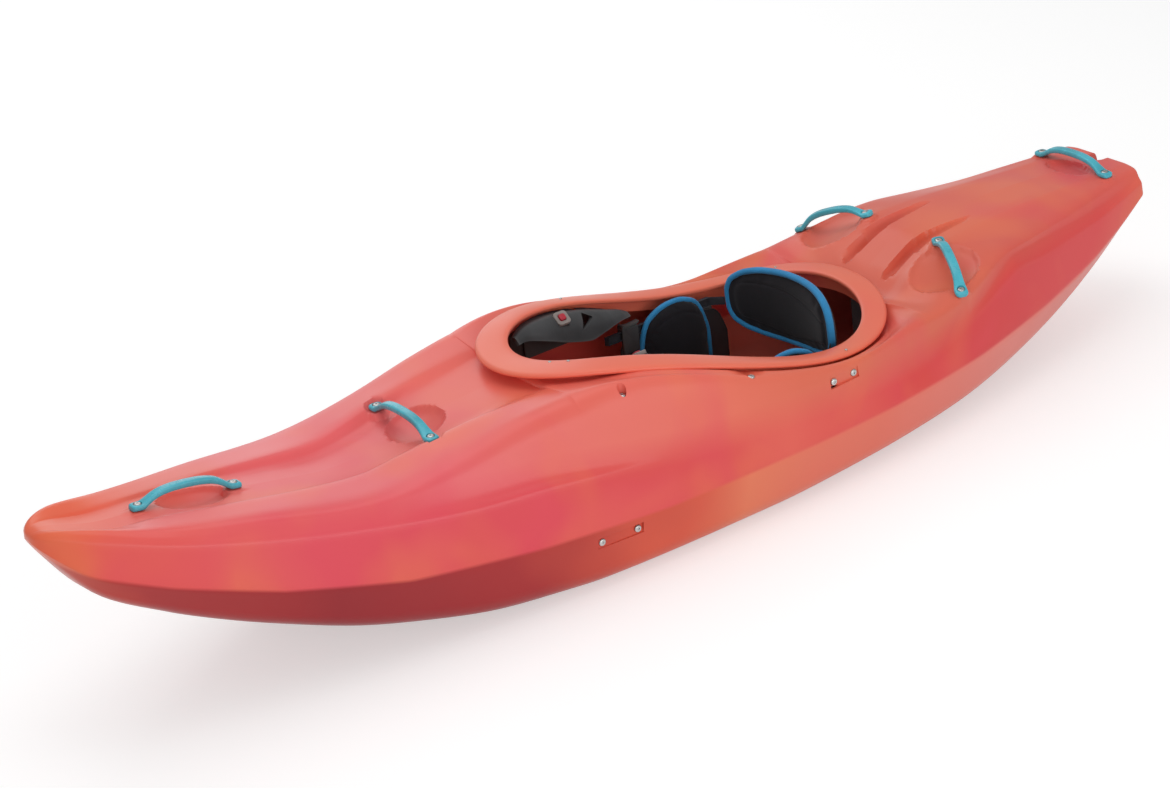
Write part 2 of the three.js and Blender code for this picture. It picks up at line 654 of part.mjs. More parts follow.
// Bolts through the side of the shell: footrest rails and seat hangers, both with level axes.
const railBoltY = railBoltPlaceShare * halfLength;
const railBoltZ = railBoltHeightShare * deckHeight;
const hangerBoltY = hangerBoltPlaceShare * halfLength;
const insideTop = (y) => Math.max(...skinInside(y).map(([, z]) => z));
const hangerBoltHeight = Math.min(
  ...[-1, 0, 1].map((k) => insideTop(hangerBoltY + (k * hangerArmLength) / 2))) - hangerBoltMargin;
const aroundHead = [-boltHeadRadius, 0, boltHeadRadius];
const sideBoltSeat = (y, z) => Math.min(
  ...aroundHead.map((d) => Math.min(sideOutside(y, z + d), sideOutside(y + d, z)))) - pocketDepth;
const nearestSide = (y, halfY, z, halfZ) => Math.min(
  ...[-1, 0, 1].flatMap((k) => [-1, 0, 1].map((m) => sideInside(y + k * halfY, z + m * halfZ))));
const railPadHalf = railBoltSpacing / 2 + bossRadius;
const railPadX = nearestSide(railBoltY, railPadHalf, railBoltZ, railHeight / 2) - bossStand;
const hangerPadX = nearestSide(hangerBoltY, hangerArmLength / 2, hangerBoltHeight, bossRadius) - bossStand;
const railBolts = [-1, 1].map((k) => [railBoltY + (k * railBoltSpacing) / 2, railBoltZ]);
const hangerBolts = [-1, 1].map((k) => [hangerBoltY + (k * hangerBoltSpacing) / 2, hangerBoltHeight]);

// Bolts down through the deck beside the rim: thigh brace mounts.
const mountFrontY = -0.149 * halfLength;
const mountRearY = 0.065 * halfLength;
const mountFrontX = 0.753 * halfBeam;
const mountRearX = 0.852 * halfBeam;
const deckBolts = [[mountFrontX, mountFrontY], [mountRearX, mountRearY]];
const deckBoltSeat = (x, y) => Math.min(
  ...aroundHead.map((d) => Math.min(deckTop(x + d, y), deckTop(x, y + d)))) - seatSink;

// Front seats of the rails on the side of the shell.
const railStartY = railBoltY + railPadHalf;
const railPadEndY = railBoltY - railPadHalf;
const railFrontY = railFrontShare * halfLength;
const railHeightAt = (y) => railBoltZ + railSlope * Math.max(0, railPadEndY - railBendLength - y);
const railFrontZ = railHeightAt(railFrontY);
const railX = sideInside(railFrontY, railFrontZ) - railFrontStandoff - railThickness / 2;

// Shell

function ellipsoid(place, halves, pitch, sides = 12) {
  const ball = new THREE.SphereGeometry(1, sides, 7);
  const size = new THREE.Matrix4().makeScale(...halves);
  const lean = new THREE.Matrix4().makeRotationX(pitch);
  return solid(ball, matrixAt(place).multiply(lean).multiply(size));
}

// Everything that is pressed into the deck, grown by a wall for the hollow below it.
function deckHollows(grow) {
  const parts = dishes.map(({ ahead, aside, halfWidth, halfLength: half, depth }) => {
    const [x, y] = [aside * halfBeam, ahead * halfLength];
    const step = half / 2;
    const pitch = Math.atan2(deckTop(x, y + step) - deckTop(x, y - step), 2 * step);
    return ellipsoid([x, y, deckTop(x, y)], [halfWidth + grow, half + grow, depth + grow], pitch);
  });
  [-1, 1].forEach((side) => parts.push(loft(grooveShares.map(([ahead, widthShare, depthShare]) => {
    const [x, y] = [side * grooveAsideShare * halfBeam, ahead * halfLength];
    const half = grooveHalfWidth * widthShare + grow;
    const top = deckTop(x, y);
    const floor = top - grooveDepth * depthShare - grow;
    const shoulderZ = floor + (grooveDepth + grow) / 3;
    const over = top + 2 * grooveDepth;
    const edge = Math.max(top, shoulderZ);
    const flank = floor + (top - floor) / 5;
    return [
      [x + half, y, over], [x + half, y, edge], [x + half * 0.62, y, flank], [x, y, floor],
      [x - half * 0.62, y, flank], [x - half, y, edge], [x - half, y, over],
    ];
  }))));
  return parts;
}

const plugY = halfLength - plugInset;
const notchFloor = deckTop(0, halfLength - sternRound) - notchDepth;
function plugNotch(grow) {
  const half = notchHalfWidth + grow;
  const top = deckHeight;
  return union([
    rod([0, plugY, 0], [0, 0, 1], half, notchFloor - grow, top, 20),
    block([-half, half], [plugY, halfLength + overrun], [notchFloor - grow, top]),
  ]);
}

function makeShell() {
  const rimCount = 40;
  const drop = (share) => () => share * lipThickness;
  const rimOutside = loft([
    rimRing(rimCount, () => neckInset, (c) => neckFootDrop(c) - neckHeight),
    rimRing(rimCount, () => neckInset, drop(-1.17)),
    rimRing(rimCount, (c) => lipAt(c) - lipThickness / 4, drop(-1.08)),
    rimRing(rimCount, lipAt, drop(-0.6)),
    rimRing(rimCount, (c) => lipAt(c) - lipThickness / 4, drop(-0.1)),
    rimRing(rimCount, () => neckInset, drop(0.1)),
    rimRing(rimCount, () => 0, drop(-0.08)),
  ]);
  const rimInside = loft([
    rimRing(rimCount, () => neckInset - wall, (c) => neckFootDrop(c) - 1.3 * neckHeight),
    rimRing(rimCount, () => neckInset - wall, drop(-0.85)),
    rimRing(rimCount, () => 0, drop(-0.85)),
    rimRing(rimCount, () => 0, drop(-0.5)),
    rimRing(rimCount, () => lipThickness / 3, drop(0.35)),
  ]);
  const outside = union([loft(outerStations.map((y) => wholeRing(halfSection(y, 'outside'), y))), rimOutside]);
  const hollow = union([loft(hollowStations.map((y) => wholeRing(hollowSection(y), y))), rimInside]);

  const handleList = Object.values(handles);
  const pads = handleList.flatMap(({ feet, axis }) => feet.map(
    (foot) => rod(foot, axis, padRadius, -padDepth, -clearance, padSides)));
  const padRoom = handleList.flatMap(({ feet, axis }) => feet.map(
    (foot) => rod(foot, axis, padRadius + padRoomWidth, -clearance, 2 * handleThickness, padSides)));
  const bosses = [];
  const seats = [];
  const holes = handleList.flatMap(({ feet, axis }) => feet.map(
    (foot) => rod(foot, axis, boltRadius + boltFit, -2 * boltGrip, boltGrip, boltSides)));
  [-1, 1].forEach((side) => {
    [[railBolts, railPadX], [hangerBolts, hangerPadX]].forEach(([places, padX]) => places.forEach(([y, z]) => {
      const seat = sideBoltSeat(y, z);
      bosses.push(rod([0, y, z], [side, 0, 0], bossRadius, padX + clearance, seat - seatSink, boltSides));
      seats.push(rod([0, y, z], [side, 0, 0], boltHeadRadius + headRoom, seat, seat + 3 * bossRadius, padSides));
      holes.push(rod([0, y, z], [side, 0, 0], boltRadius + boltFit, padX - overrun, seat + overrun, boltSides));
    }));
    [railBolts, hangerBolts].forEach((places) => {
      const [near, far] = places.map(([y, z]) => side * (sideBoltSeat(y, z) + seatSink));
      const [[nearY, z], [farY]] = places;
      const out = side * 3 * bossRadius;
      const floor = [
        [near, nearY - pocketHalfHeight], [far, farY + pocketHalfHeight],
        [far + out, farY + pocketHalfHeight], [near + out, nearY - pocketHalfHeight],
      ];
      seats.push(prismZ(floor, z - pocketHalfHeight, z + pocketHalfHeight));
    });
    deckBolts.forEach(([x, y]) => {
      const seat = deckBoltSeat(x, y);
      seats.push(rod([side * x, y, seat], [0, 0, 1], boltHeadRadius + headRoom, 0, 2 * bossRadius, padSides));
      holes.push(rod([side * x, y, seat], [0, 0, 1], boltRadius + boltFit, -boltGrip, overrun, boltSides));
    });
    const from = railX + railThickness / 2 + clearance;
    const to = sideInside(railFrontY, railFrontZ) + wall / 2;
    bosses.push(rod([0, railFrontY + bossRadius, railFrontZ], [side, 0, 0], bossRadius, from, to, boltSides));
  });
  const socketRoom = plugStemRadius + socketWall + clearance;
  holes.push(rod([0, plugY, notchFloor], [0, 0, 1], socketRoom, -2 * wall, overrun, 20));

  const outer = cut(union([outside, ...pads]), [...deckHollows(0), plugNotch(0), ...padRoom]);
  const inner = cut(hollow, [...deckHollows(wall), plugNotch(wall), ...pads, ...bosses]);
  return mainBody(cut(outer.subtract(inner), [...seats, ...holes]));
}
add('hull_shell', makeShell(), shellFinish);

// Foam pillars: plates on the centre line between the floor and the deck
function makePillar(shares, width) {
  const rimEnd = cockpitCentre + cockpitHalf + lipReach;
  const behindRim = (y) => (y > cockpitCentre ? Math.max(y, rimEnd) : Math.min(y, 2 * cockpitCentre - rimEnd));
  const [from, to] = shares.map((share) => behindRim(share * halfLength));
  const places = [from, ...hollowStations.filter((y) => y > from + wall && y < to - wall), to];
  const half = width / 2;
  const tops = places.map((y) => [y, Math.min(deckUnder(0, y), deckUnder(half, y)) - pillarFit]);
  const bottoms = places.map((y) => [y, Math.max(floorTop(0, y), floorTop(half, y)) + pillarFit]);
  const sheet = prismX([...bottoms, ...tops.reverse()], -half, half);
  const relief = Object.values(handles).flatMap(({ feet, axis }) => feet.map(
    (foot) => rod(foot, axis, padRadius + headRoom, -boltGrip - overrun, overrun, padSides)));
  return cut(sheet, [...deckHollows(wall + pillarFit), ...relief]);
}
function lighteningHole(y, radius) {
  const z = (floorTop(0, y) + deckUnder(0, y)) / 2;
  return rod([0, y, z], [1, 0, 0], radius, -rearPillarWidth, rearPillarWidth, 16);
}
const frontCutY = 0.35 * frontPillarShares[0] * halfLength + 0.65 * frontPillarShares[1] * halfLength;
const rearCutY = 0.6 * rearPillarShares[0] * halfLength + 0.4 * rearPillarShares[1] * halfLength;
const frontPillar = makePillar(frontPillarShares, frontPillarWidth);
const rearPillar = makePillar(rearPillarShares, rearPillarWidth);
add('front_pillar', cut(frontPillar, [lighteningHole(frontCutY, pillarCutRadius)]), greyFoamFinish);
add('rear_pillar', cut(rearPillar, [lighteningHole(rearCutY, pillarCutRadius)]), greyFoamFinish);

// Grab handles and their bolts
function makeHandle(spacing) {
  const end = spacing / 2 + handleFootLength;
  // Shares of the way to the end, of the width, of the lift and of the thickness
  const stationShares = [
    [0, 0.8, 1, 1.1], [0.3, 0.8, 0.93, 1.1], [0.58, 0.82, 0.6, 1.08], [0.75, 1, 0.14, 1],
    [0.81, 1.12, 0, 0.95], [0.93, 1.12, 0, 0.92], [1, 0.6, 0, 0.7],
  ];
  const both = [...stationShares.slice(1).reverse().map(([s, ...rest]) => [-s, ...rest]), ...stationShares];
  const rings = both.map(([s, widthShare, liftShare, thickShare]) => {
    const half = (handleWidth * widthShare) / 2;
    const bottom = handleLift * liftShare;
    const top = bottom + handleThickness * thickShare;
    const edge = Math.min(half, handleThickness / 2) * 0.55;
    return [
      [half - edge, bottom], [half, bottom + edge], [half, top - edge], [half - edge, top],
      [edge - half, top], [-half, top - edge], [-half, bottom + edge], [edge - half, bottom],
    ].map(([y, z]) => [s * end, y, z]);
  });
  const seatTop = handleThickness - boltHeadHeight;
  const holes = [-1, 1].flatMap((side) => {
    const place = [(side * spacing) / 2, 0, 0];
    return [
      rod(place, [0, 0, 1], boltRadius + boltFit, -overrun, handleThickness + overrun, boltSides),
      rod(place, [0, 0, 1], boltHeadRadius + headRoom, seatTop - clearance, handleThickness + overrun, padSides),
    ];
  });
  return { body: cut(loft(rings), holes), seatTop };
}
Object.entries(handles).forEach(([name, { place, turn, spacing }]) => {
  const handle = makeHandle(spacing);
  const group = new THREE.Group();
  group.position.set(...place);
  group.quaternion.copy(turn);
  model.add(group);
  add(name, handle.body, handleFinish, null, null, group);
  [-1, 1].forEach((end) => {
    const boltName = name.replace('handle', 'handle_bolt') + (end < 0 ? '_a' : '_b');
    add(boltName, bolt, steelFinish, [(end * spacing) / 2, 0, handle.seatTop], null, group);
  });
});

// Drain plug and its threaded socket at the stern
const socketTop = notchFloor - clearance;
const socketBottom = socketTop - plugStemLength;
const [boreRadius, socketRadius] = [plugStemRadius + clearance, plugStemRadius + socketWall];
add('drain_socket', solid(turned([
  [boreRadius, socketTop], [socketRadius, socketTop], [socketRadius, socketBottom], [boreRadius, socketBottom],
  [boreRadius, socketTop],
], 20).translate(0, plugY, 0)), socketFinish);
const plugCap = solid(turned([
  [0, -plugStemLength + socketFlange], [plugStemRadius, -plugStemLength + socketFlange], [plugStemRadius, 0],
  [plugHeadRadius, 0], [plugHeadRadius, plugHeadHeight * 0.75], [plugHeadRadius * 0.9, plugHeadHeight],
  [plugHeadRadius * 0.7, plugHeadHeight], [plugHeadRadius * 0.62, plugHeadHeight * 0.6],
  [0, plugHeadHeight * 0.6],
], 20));
const gripHalf = plugHeadRadius / 6;
const gripLength = 1.3 * plugHeadRadius;
const plugGrip = block(
  [-gripLength / 2, gripLength / 2], [-gripHalf, gripHalf], [plugHeadHeight / 2, plugHeadHeight * 1.15]);
add('drain_plug', plugCap.add(plugGrip), plugFinish, [0, plugY, notchFloor + clearance]);

// Footrest rails, their bolts, and the plate that slides on them
const railBendY = railPadEndY - railBendLength;
function ribbon(line, thickness) {
  const offset = (side) => line.map((p, k) => {
    const before = line[Math.max(0, k - 1)];
    const after = line[Math.min(line.length - 1, k + 1)];
    const d1 = [p[0] - before[0], p[1] - before[1]];
    const d2 = [after[0] - p[0], after[1] - p[1]];
    const unit = ([x, y]) => (Math.hypot(x, y) ? [x / Math.hypot(x, y), y / Math.hypot(x, y)] : null);
    const [u, v] = [unit(d1) ?? unit(d2), unit(d2) ?? unit(d1)];
    const normal = [-(u[1] + v[1]) / 2, (u[0] + v[0]) / 2];
    const size = normal[0] ** 2 + normal[1] ** 2;
    return [p[0] + (side * thickness * normal[0]) / 2 / size, p[1] + (side * thickness * normal[1]) / 2 / size];
  });
  return [...offset(1), ...offset(-1).reverse()];
}
const railLine = [
  [railPadX - railThickness / 2, railStartY], [railPadX - railThickness / 2, railPadEndY],
  [railX, railBendY], [railX, railFrontY],
];
const footrestY = footrestPlaceShare * halfLength;
const slideDirection = new THREE.Vector3(0, -1, railSlope).normalize();
const slotStart = footrestY + footrestAft + clampBlock;
const slotEnd = footrestY - footrestForward - clampBlock;
const followRail = (geometry) => {
  const at = geometry.attributes.position;
  for (let i = 0; i < at.count; i++) at.setZ(i, at.getZ(i) + railHeightAt(at.getY(i)));
  return geometry;
};
function makeRail() {
  const flat = prismZ(ribbon(railLine, railThickness), -railHeight / 2, railHeight / 2);
  const slot = block(
    [railX - railThickness, railX + railThickness], [slotEnd, slotStart], [-slotHeight / 2, slotHeight / 2]);
  const rail = solid(followRail(geometryOf(flat))).subtract(solid(followRail(geometryOf(slot))));
  const holes = railBolts.map(
    ([y, z]) => rod([0, y, z], [1, 0, 0], boltRadius + boltFit, railX, railPadX + overrun, boltSides));
  return cut(rail, holes);
}
const rail = makeRail();

function makePlate() {
  const forwardY = footrestY - footrestForward * -slideDirection.y;
  const lift = footrestForward * slideDirection.z;
  const half = railX - railThickness / 2 - clearance - clampBlock / 2;
  const under = Math.min(deckUnder(0, forwardY), deckUnder(half / 2, forwardY), deckUnder(0, footrestY));
  const top = under - lift - plateTopMargin;
  const bottom = floorTop(half, forwardY) - lift + plateFloorMargin;
  const corner = Math.min(plateCorner, (top - bottom) / 2 - wall);
  const middle = (top + bottom) / 2;
  const outline = roundedOutline(half, (top - bottom) / 2, corner, 4).map(([x, z]) => [x, z + middle]);
  return { outline, half, top, bottom };
}
const plate = makePlate();
const footrestZ = railHeightAt(footrestY);
const plateFront = footrestY - plateThickness / 2;
const plateBack = footrestY + plateThickness / 2;
function makeFootrest() {
  const sheet = prismY(plate.outline, plateFront, plateBack);
  const arms = [-1, 1].map((side) => {
    const span = [plate.half - wall, railX - railThickness / 2 - clearance];
    const x = span.map((v) => v * side).sort((a, b) => a - b);
    const [y, z] = [[-clampBlock, clampBlock], [-clampBlock / 2, clampBlock / 2]];
    return block(x, y.map((v) => v + footrestY), z.map((v) => v + footrestZ));
  });
  const ribs = [-1, 0, 1].map((k) => {
    const x = (k * plate.half) / 2;
    const z = [plate.bottom + plateCorner, plate.top - plateCorner];
    return block([x - wall / 2, x + wall / 2], [plateFront - 2 * wall, footrestY], z);
  });
  const windows = [-1, 1].map((k) => {
    const x = (k * plate.half) / 4;
    const outline = roundedOutline(plate.half / 7, (plate.top - plate.bottom) / 5, 2 * wall, 2)
      .map(([a, z]) => [a + x, z + (plate.top + plate.bottom) / 2]);
    return prismY(outline, plateFront - overrun, plateBack + overrun);
  });
  const holes = [-1, 1].map((side) => rod(
    [0, footrestY, footrestZ], [side, 0, 0], boltRadius + boltFit, plate.half - 2 * wall, railX, boltSides));
  return cut(union([sheet, ...arms, ...ribs]), [...windows, ...holes]);
}
const foamOutline = plate.outline.map(([x, z]) => {
  const middle = (plate.top + plate.bottom) / 2;
  return [x * 0.92, middle + (z - middle) * 0.92];
});
function makeFootFoam() {
  const middle = (plate.top + plate.bottom) / 2;
  const ring = (y, share) => foamOutline.map(([x, z]) => [x * share, y, middle + (z - middle) * share]);
  const back = plateBack + clearance;
  return loft([[0, 0.98], [0.25, 1], [0.8, 0.99], [1, 0.93]].map(
    ([depthShare, share]) => ring(back + depthShare * footFoamThickness, share)));
}
add('footrest_plate', makeFootrest(), plasticFinish);
add('footrest_foam', makeFootFoam(), foamFinish);

function makeClamp() {
  const grip = roundedOutline(clampKnobRadius, clampKnobRadius / 2.4, clampKnobRadius / 3, 2);
  const wings = prismZ(grip, 0, clampKnobLength);
  const stemLength = railThickness + 4 * clearance + clampBlock / 3;
  const stem = rod([0, 0, 0], [0, 0, 1], boltRadius, -stemLength, clearance, boltSides);
  const collar = rod([0, 0, 0], [0, 0, 1], slotHeight * 0.8, 0, clampKnobLength / 3, 14);
  return union([wings, stem, collar]);
}
const clamp = makeClamp();

sideNames.forEach(([sideName, side]) => {
  add(`footrest_rail_${sideName}`, sided(rail, side), railFinish);
  railBolts.forEach(([y, z], k) => {
    const place = [side * (sideBoltSeat(y, z) + clearance), y, z];
    add(`rail_bolt_${sideName}_${k ? 'rear' : 'front'}`, bolt, steelFinish, place, turnTo([side, 0, 0]));
  });
  const clampPlace = [side * (railX + railThickness / 2 + clearance), footrestY, footrestZ];
  add(`footrest_clamp_${sideName}`, clamp, plasticFinish, clampPlace, turnTo([side, 0, 0]));
});

// Thigh braces: a mount under the deck, a curved blade below the rim's edge, and its catch with a push button
const mountStart = mountFrontY - mountFlangeHalfWidth;
const mountEnd = mountRearY + mountFlangeHalfWidth;
const legStart = mountFrontY + 3 * mountFlangeHalfWidth;
const legEnd = mountRearY - 2 * mountFlangeHalfWidth;
const underBetween = (a, b, y) => {
  const heights = [0, 1 / 3, 2 / 3, 1].map((t) => deckUnder(a + (b - a) * t, y));
  const line = heights.map((_, k) => heights[0] + ((heights[3] - heights[0]) * k) / 3);
  const sag = Math.min(...heights.map((h, k) => h - line[k]));
  return [heights[0] + sag, heights[3] + sag];
};
function makeMount() {
  const steps = 10;
  const rings = Array.from({ length: steps + 1 }, (_, k) => {
    const y = mountStart + ((mountEnd - mountStart) * k) / steps;
    const t = THREE.MathUtils.clamp((y - mountFrontY) / (mountRearY - mountFrontY), 0, 1);
    const centre = mountFrontX + (mountRearX - mountFrontX) * t;
    const outer = centre + mountFlangeHalfWidth;
    const inner = y > legStart && y < legEnd ? braceLegX : centre - mountFlangeHalfWidth;
    const [za, zb] = underBetween(inner, outer, y).map((z) => z - mountGap);
    return [[inner, y, za - mountFlange], [outer, y, zb - mountFlange], [outer, y, zb], [inner, y, za]];
  });
  const legReach = braceLegX + 2 * braceLegThickness;
  const legTop = (y) => underBetween(braceLegX, legReach, y)[0] - mountGap - mountFlange / 4;
  const legBottom = deckUnder(braceLegX + braceLegThickness, legEnd) - braceLegDrop;
  const leg = loft([0, 1, 2, 3, 4].map((k) => {
    const y = legStart + ((legEnd - legStart) * k) / 4;
    const [a, b] = [braceLegX, braceLegX + braceLegThickness];
    return [[a, y, legBottom], [b, y, legBottom], [b, y, legTop(y)], [a, y, legTop(y)]];
  }));
  const holes = deckBolts.map(
    ([x, y]) => rod([x, y, 0], [0, 0, 1], boltRadius + boltFit, 0, deckHeight, boltSides));
  return { body: cut(union([loft(rings), leg]), holes), legBottom };
}
const mount = makeMount();

// Opening in the blade: its corners as shares of its size
const triangleSize = 26;
const triangleShares = [[-1, -0.35], [0.77, 0.12], [-0.31, 0.85]];

// Blade stations: the place along the boat, then for five points an inset and a drop from the rim's edge
const bladePlaceShares = [-0.155, -0.135, -0.1, -0.055, -0.015, 0.02, 0.05, 0.075, 0.092];
const bladeInset = 58;
const bladeDrop = 74;
const bladeShares = [
  [[-0.3, -0.56], [-0.16, -0.51], [-0.02, -0.5], [0.12, -0.53], [0.25, -0.6]],
  [[-0.35, -0.6], [-0.1, -0.48], [0.12, -0.36], [0.3, -0.45], [0.35, -0.62]],
  [[-0.38, -0.66], [-0.04, -0.46], [0.34, -0.27], [0.7, -0.42], [0.85, -0.72]],
  [[-0.38, -0.68], [-0.02, -0.45], [0.4, -0.22], [0.8, -0.45], [1, -0.92]],
  [[-0.38, -0.7], [0, -0.46], [0.42, -0.22], [0.82, -0.48], [1, -0.98]],
  [[-0.3, -0.66], [0.04, -0.46], [0.4, -0.25], [0.76, -0.46], [0.92, -0.8]],
  [[-0.16, -0.58], [0.1, -0.44], [0.36, -0.28], [0.66, -0.42], [0.8, -0.6]],
  [[0, -0.5], [0.16, -0.4], [0.32, -0.3], [0.5, -0.38], [0.62, -0.5]],
  [[0.06, -0.44], [0.17, -0.4], [0.28, -0.38], [0.39, -0.41], [0.5, -0.46]],
];
const bladePoint = (y, [insetShare, dropShare]) => {
  const [x, z] = rimEdge(y);
  return [x - insetShare * bladeInset, z + dropShare * bladeDrop];
};
function makeBlade() {
  const rings = bladePlaceShares.map((share, k) => {
    const y = share * halfLength;
    return ribbon(bladeShares[k].map((pair) => bladePoint(y, pair)), braceThickness).map(([x, z]) => [x, y, z]);
  });
  const tabFrom = legStart + 2 * braceTravel;
  const tabTo = legEnd - 2 * braceTravel;
  const tabX = braceLegX - clearance - braceTabThickness / 2;
  const tab = loft([0, 1, 2, 3].map((k) => {
    const y = tabFrom + ((tabTo - tabFrom) * k) / 3;
    const [edgeX, edgeZ] = bladePoint(y, [-0.3, -0.64]);
    const [near, far] = [tabX - braceTabThickness / 2, tabX + braceTabThickness / 2];
    const low = mount.legBottom + clearance;
    return [
      [near, low], [far, low], [far, edgeZ - braceThickness / 2], [edgeX, edgeZ + braceThickness / 8],
      [edgeX - braceThickness, edgeZ - braceThickness / 2], [near, edgeZ - 2 * braceThickness],
    ].map(([x, z]) => [x, y, z]);
  }));
  const corners = triangleShares.map(([y, z]) => [triangleY + y * triangleSize, triangleZ + z * triangleSize]);
  const hole = prismX(corners, 0, braceLegX - 3 * braceTabThickness);
  return { blade: loft(rings), tab, hole };
}
const triangleY = -0.006 * halfLength;
const triangleZ = bladePoint(triangleY, [0.6, -0.45])[1];
const catchY = -0.058 * halfLength;
const catchHigh = bladePoint(catchY, bladeShares[3][2]);
const catchLow = bladePoint(catchY, bladeShares[3][3]);
const catchLean = Math.atan2(catchHigh[1] - catchLow[1], catchHigh[0] - catchLow[0]);
const catchSeat = braceThickness / 2 + headRoom;
const catchAxis = [-Math.sin(catchLean), 0, Math.cos(catchLean)];
const catchPlace = [(catchHigh[0] + catchLow[0]) / 2, catchY, (catchHigh[1] + catchLow[1]) / 2];
function makeBrace() {
  const { blade, tab, hole } = makeBlade();
  const turn = turnTo(catchAxis);
  const seatHalf = catchSide / 2 + headRoom;
  const seatOutline = roundedOutline(seatHalf, seatHalf, catchSide / 5, 2);
  const seat = prismZ(seatOutline, -braceThickness / 2, catchSeat);
  const room = prismZ(seatOutline, catchSeat, 2 * catchHeight);
  const well = rod([0, 0, 0], [0, 0, 1], buttonSide / 3, -2 * braceThickness, 2 * braceThickness, boltSides);
  const placed = (made) => solid(geometryOf(made), matrixAt(catchPlace, turn));
  return cut(union([blade, tab, placed(seat)]), [hole, placed(room), placed(well)]);
}
const brace = makeBrace();
const buttonHalf = buttonSide / 2;
const wellHalf = buttonHalf + 2 * clearance;
const catchBody = prismZ(roundedOutline(catchSide / 2, catchSide / 2, catchSide / 5, 2), 0, catchHeight)
  .subtract(prismZ(roundedOutline(wellHalf, wellHalf, buttonHalf / 2, 2), -overrun, 2 * catchHeight));
const buttonOutline = roundedOutline(buttonHalf, buttonHalf, buttonHalf / 2, 2);
const buttonBody = prismZ(buttonOutline, buttonTravel + clearance, catchHeight + buttonProud);
sideNames.forEach(([sideName, side]) => {
  add(`brace_mount_${sideName}`, sided(mount.body, side), plasticFinish);
  add(`thigh_brace_${sideName}`, sided(brace, side), plasticFinish);
  const axis = [side * catchAxis[0], 0, catchAxis[2]];
  const lift = catchSeat + clearance;
  const place = [side * catchPlace[0] + lift * axis[0], catchPlace[1], catchPlace[2] + lift * axis[2]];
  add(`brace_catch_${sideName}`, catchBody, catchFinish, place, turnTo(axis));
  add(`brace_button_${sideName}`, buttonBody, buttonFinish, place, turnTo(axis));
  deckBolts.forEach(([x, y], k) => {
    const seat = deckBoltSeat(x, y) + clearance;
    add(`brace_bolt_${sideName}_${k ? 'rear' : 'front'}`, bolt, steelFinish, [side * x, y, seat]);
  });
});

// Seat: hangers bolted to the sides, a bucket between them, its foam, hip pads and ratchets
const hangerInnerX = seatHalfWidth + clearance;
const hangerY = [hangerBoltY - hangerArmLength / 2, hangerBoltY + hangerArmLength / 2];
const seatMiddleY = 0.19 * halfLength;
function makeHanger() {
  const armX = [0.2, 0.4, 0.6, 0.8].map((t) => hangerInnerX + (hangerPadX - hangerInnerX) * t);
  const armTop = Math.min(
    ...hangerY.concat(hangerBoltY).flatMap((y) => armX.map((x) => deckUnder(x, y)))) - hangerGap;
  const armBottom = Math.min(armTop, hangerBoltHeight - bossRadius) - hangerThickness;
  const legTop = hangerBoltHeight + boltHeadRadius + boltHeadRadius / 4;
  const wallLeg = block([hangerPadX - hangerThickness, hangerPadX], hangerY, [armBottom, legTop]);
  const arm = block([hangerInnerX, hangerPadX], hangerY, [armBottom, armBottom + hangerThickness]);
  const legY = [seatMiddleY - hangerLegLength / 2, seatMiddleY + hangerLegLength / 2];
  const legBottom = Math.max(...legY.map((y) => floorTop(hangerInnerX + hangerThickness, y))) + hangerGap;
  const legX = [hangerInnerX, hangerInnerX + hangerThickness];
  const leg = block(legX, legY, [legBottom, armBottom + hangerThickness]);
  const gussets = [hangerY[0], hangerY[1] - hangerThickness].map((y) => prismY([
    [hangerInnerX, armBottom], [hangerPadX, armBottom], [hangerInnerX, armBottom - hangerArmLength / 2],
  ], y, y + hangerThickness));
  const slot = block([0, hangerPadX - 2 * hangerThickness], [legY[0] + 4 * wall, legY[1] - 4 * wall],
    [armBottom / 2 - slotHeight / 2, armBottom / 2 + slotHeight / 2]);
  const holeFrom = hangerPadX - 2 * hangerThickness;
  const holes = hangerBolts.map(
    ([y, z]) => rod([0, y, z], [1, 0, 0], boltRadius + boltFit, holeFrom, hangerPadX + overrun, boltSides));
  return cut(union([wallLeg, arm, leg, ...gussets]), [slot, ...holes]);
}
const hanger = makeHanger();

// Seat stations: place along the boat, height of the floor's underside, and height of the side walls
const seatStationShares = [
  [0.07, 0.15, 0.3], [0.085, 0.115, 0.5], [0.11, 0.08, 0.515], [0.15, 0.045, 0.52], [0.2, 0.035, 0.52],
  [0.25, 0.045, 0.51], [0.28, 0.075, 0.46], [0.292, 0.11, 0.36],
];
function seatRing([placeShare, floorShare, topShare]) {
  const y = placeShare * halfLength;
  const [floor, top] = [floorShare * deckHeight, topShare * deckHeight];
  const corner = Math.min(seatFloorCorner, (top - floor) * 0.8);
  const arc = (centreX, side, radius) => [0, 1, 2, 3].map((k) => {
    const angle = (Math.PI / 2) * (k / 3);
    return [side * (centreX + radius * Math.sin(angle)), y, floor + corner - radius * Math.cos(angle)];
  });
  const centreX = seatHalfWidth - corner;
  const inner = corner - seatWall;
  const outside = [...arc(centreX, 1, corner), [seatHalfWidth, y, top]];
  const inside = [[seatHalfWidth - seatWall, y, top], ...arc(centreX, 1, inner).reverse()];
  const flip = (ring) => ring.map(([x, py, z]) => [-x, py, z]).reverse();
  return [...flip(outside), ...outside, ...inside, ...flip(inside)];
}
const seatPan = loft(seatStationShares.map(seatRing));
add('seat_pan', seatPan, plasticFinish);

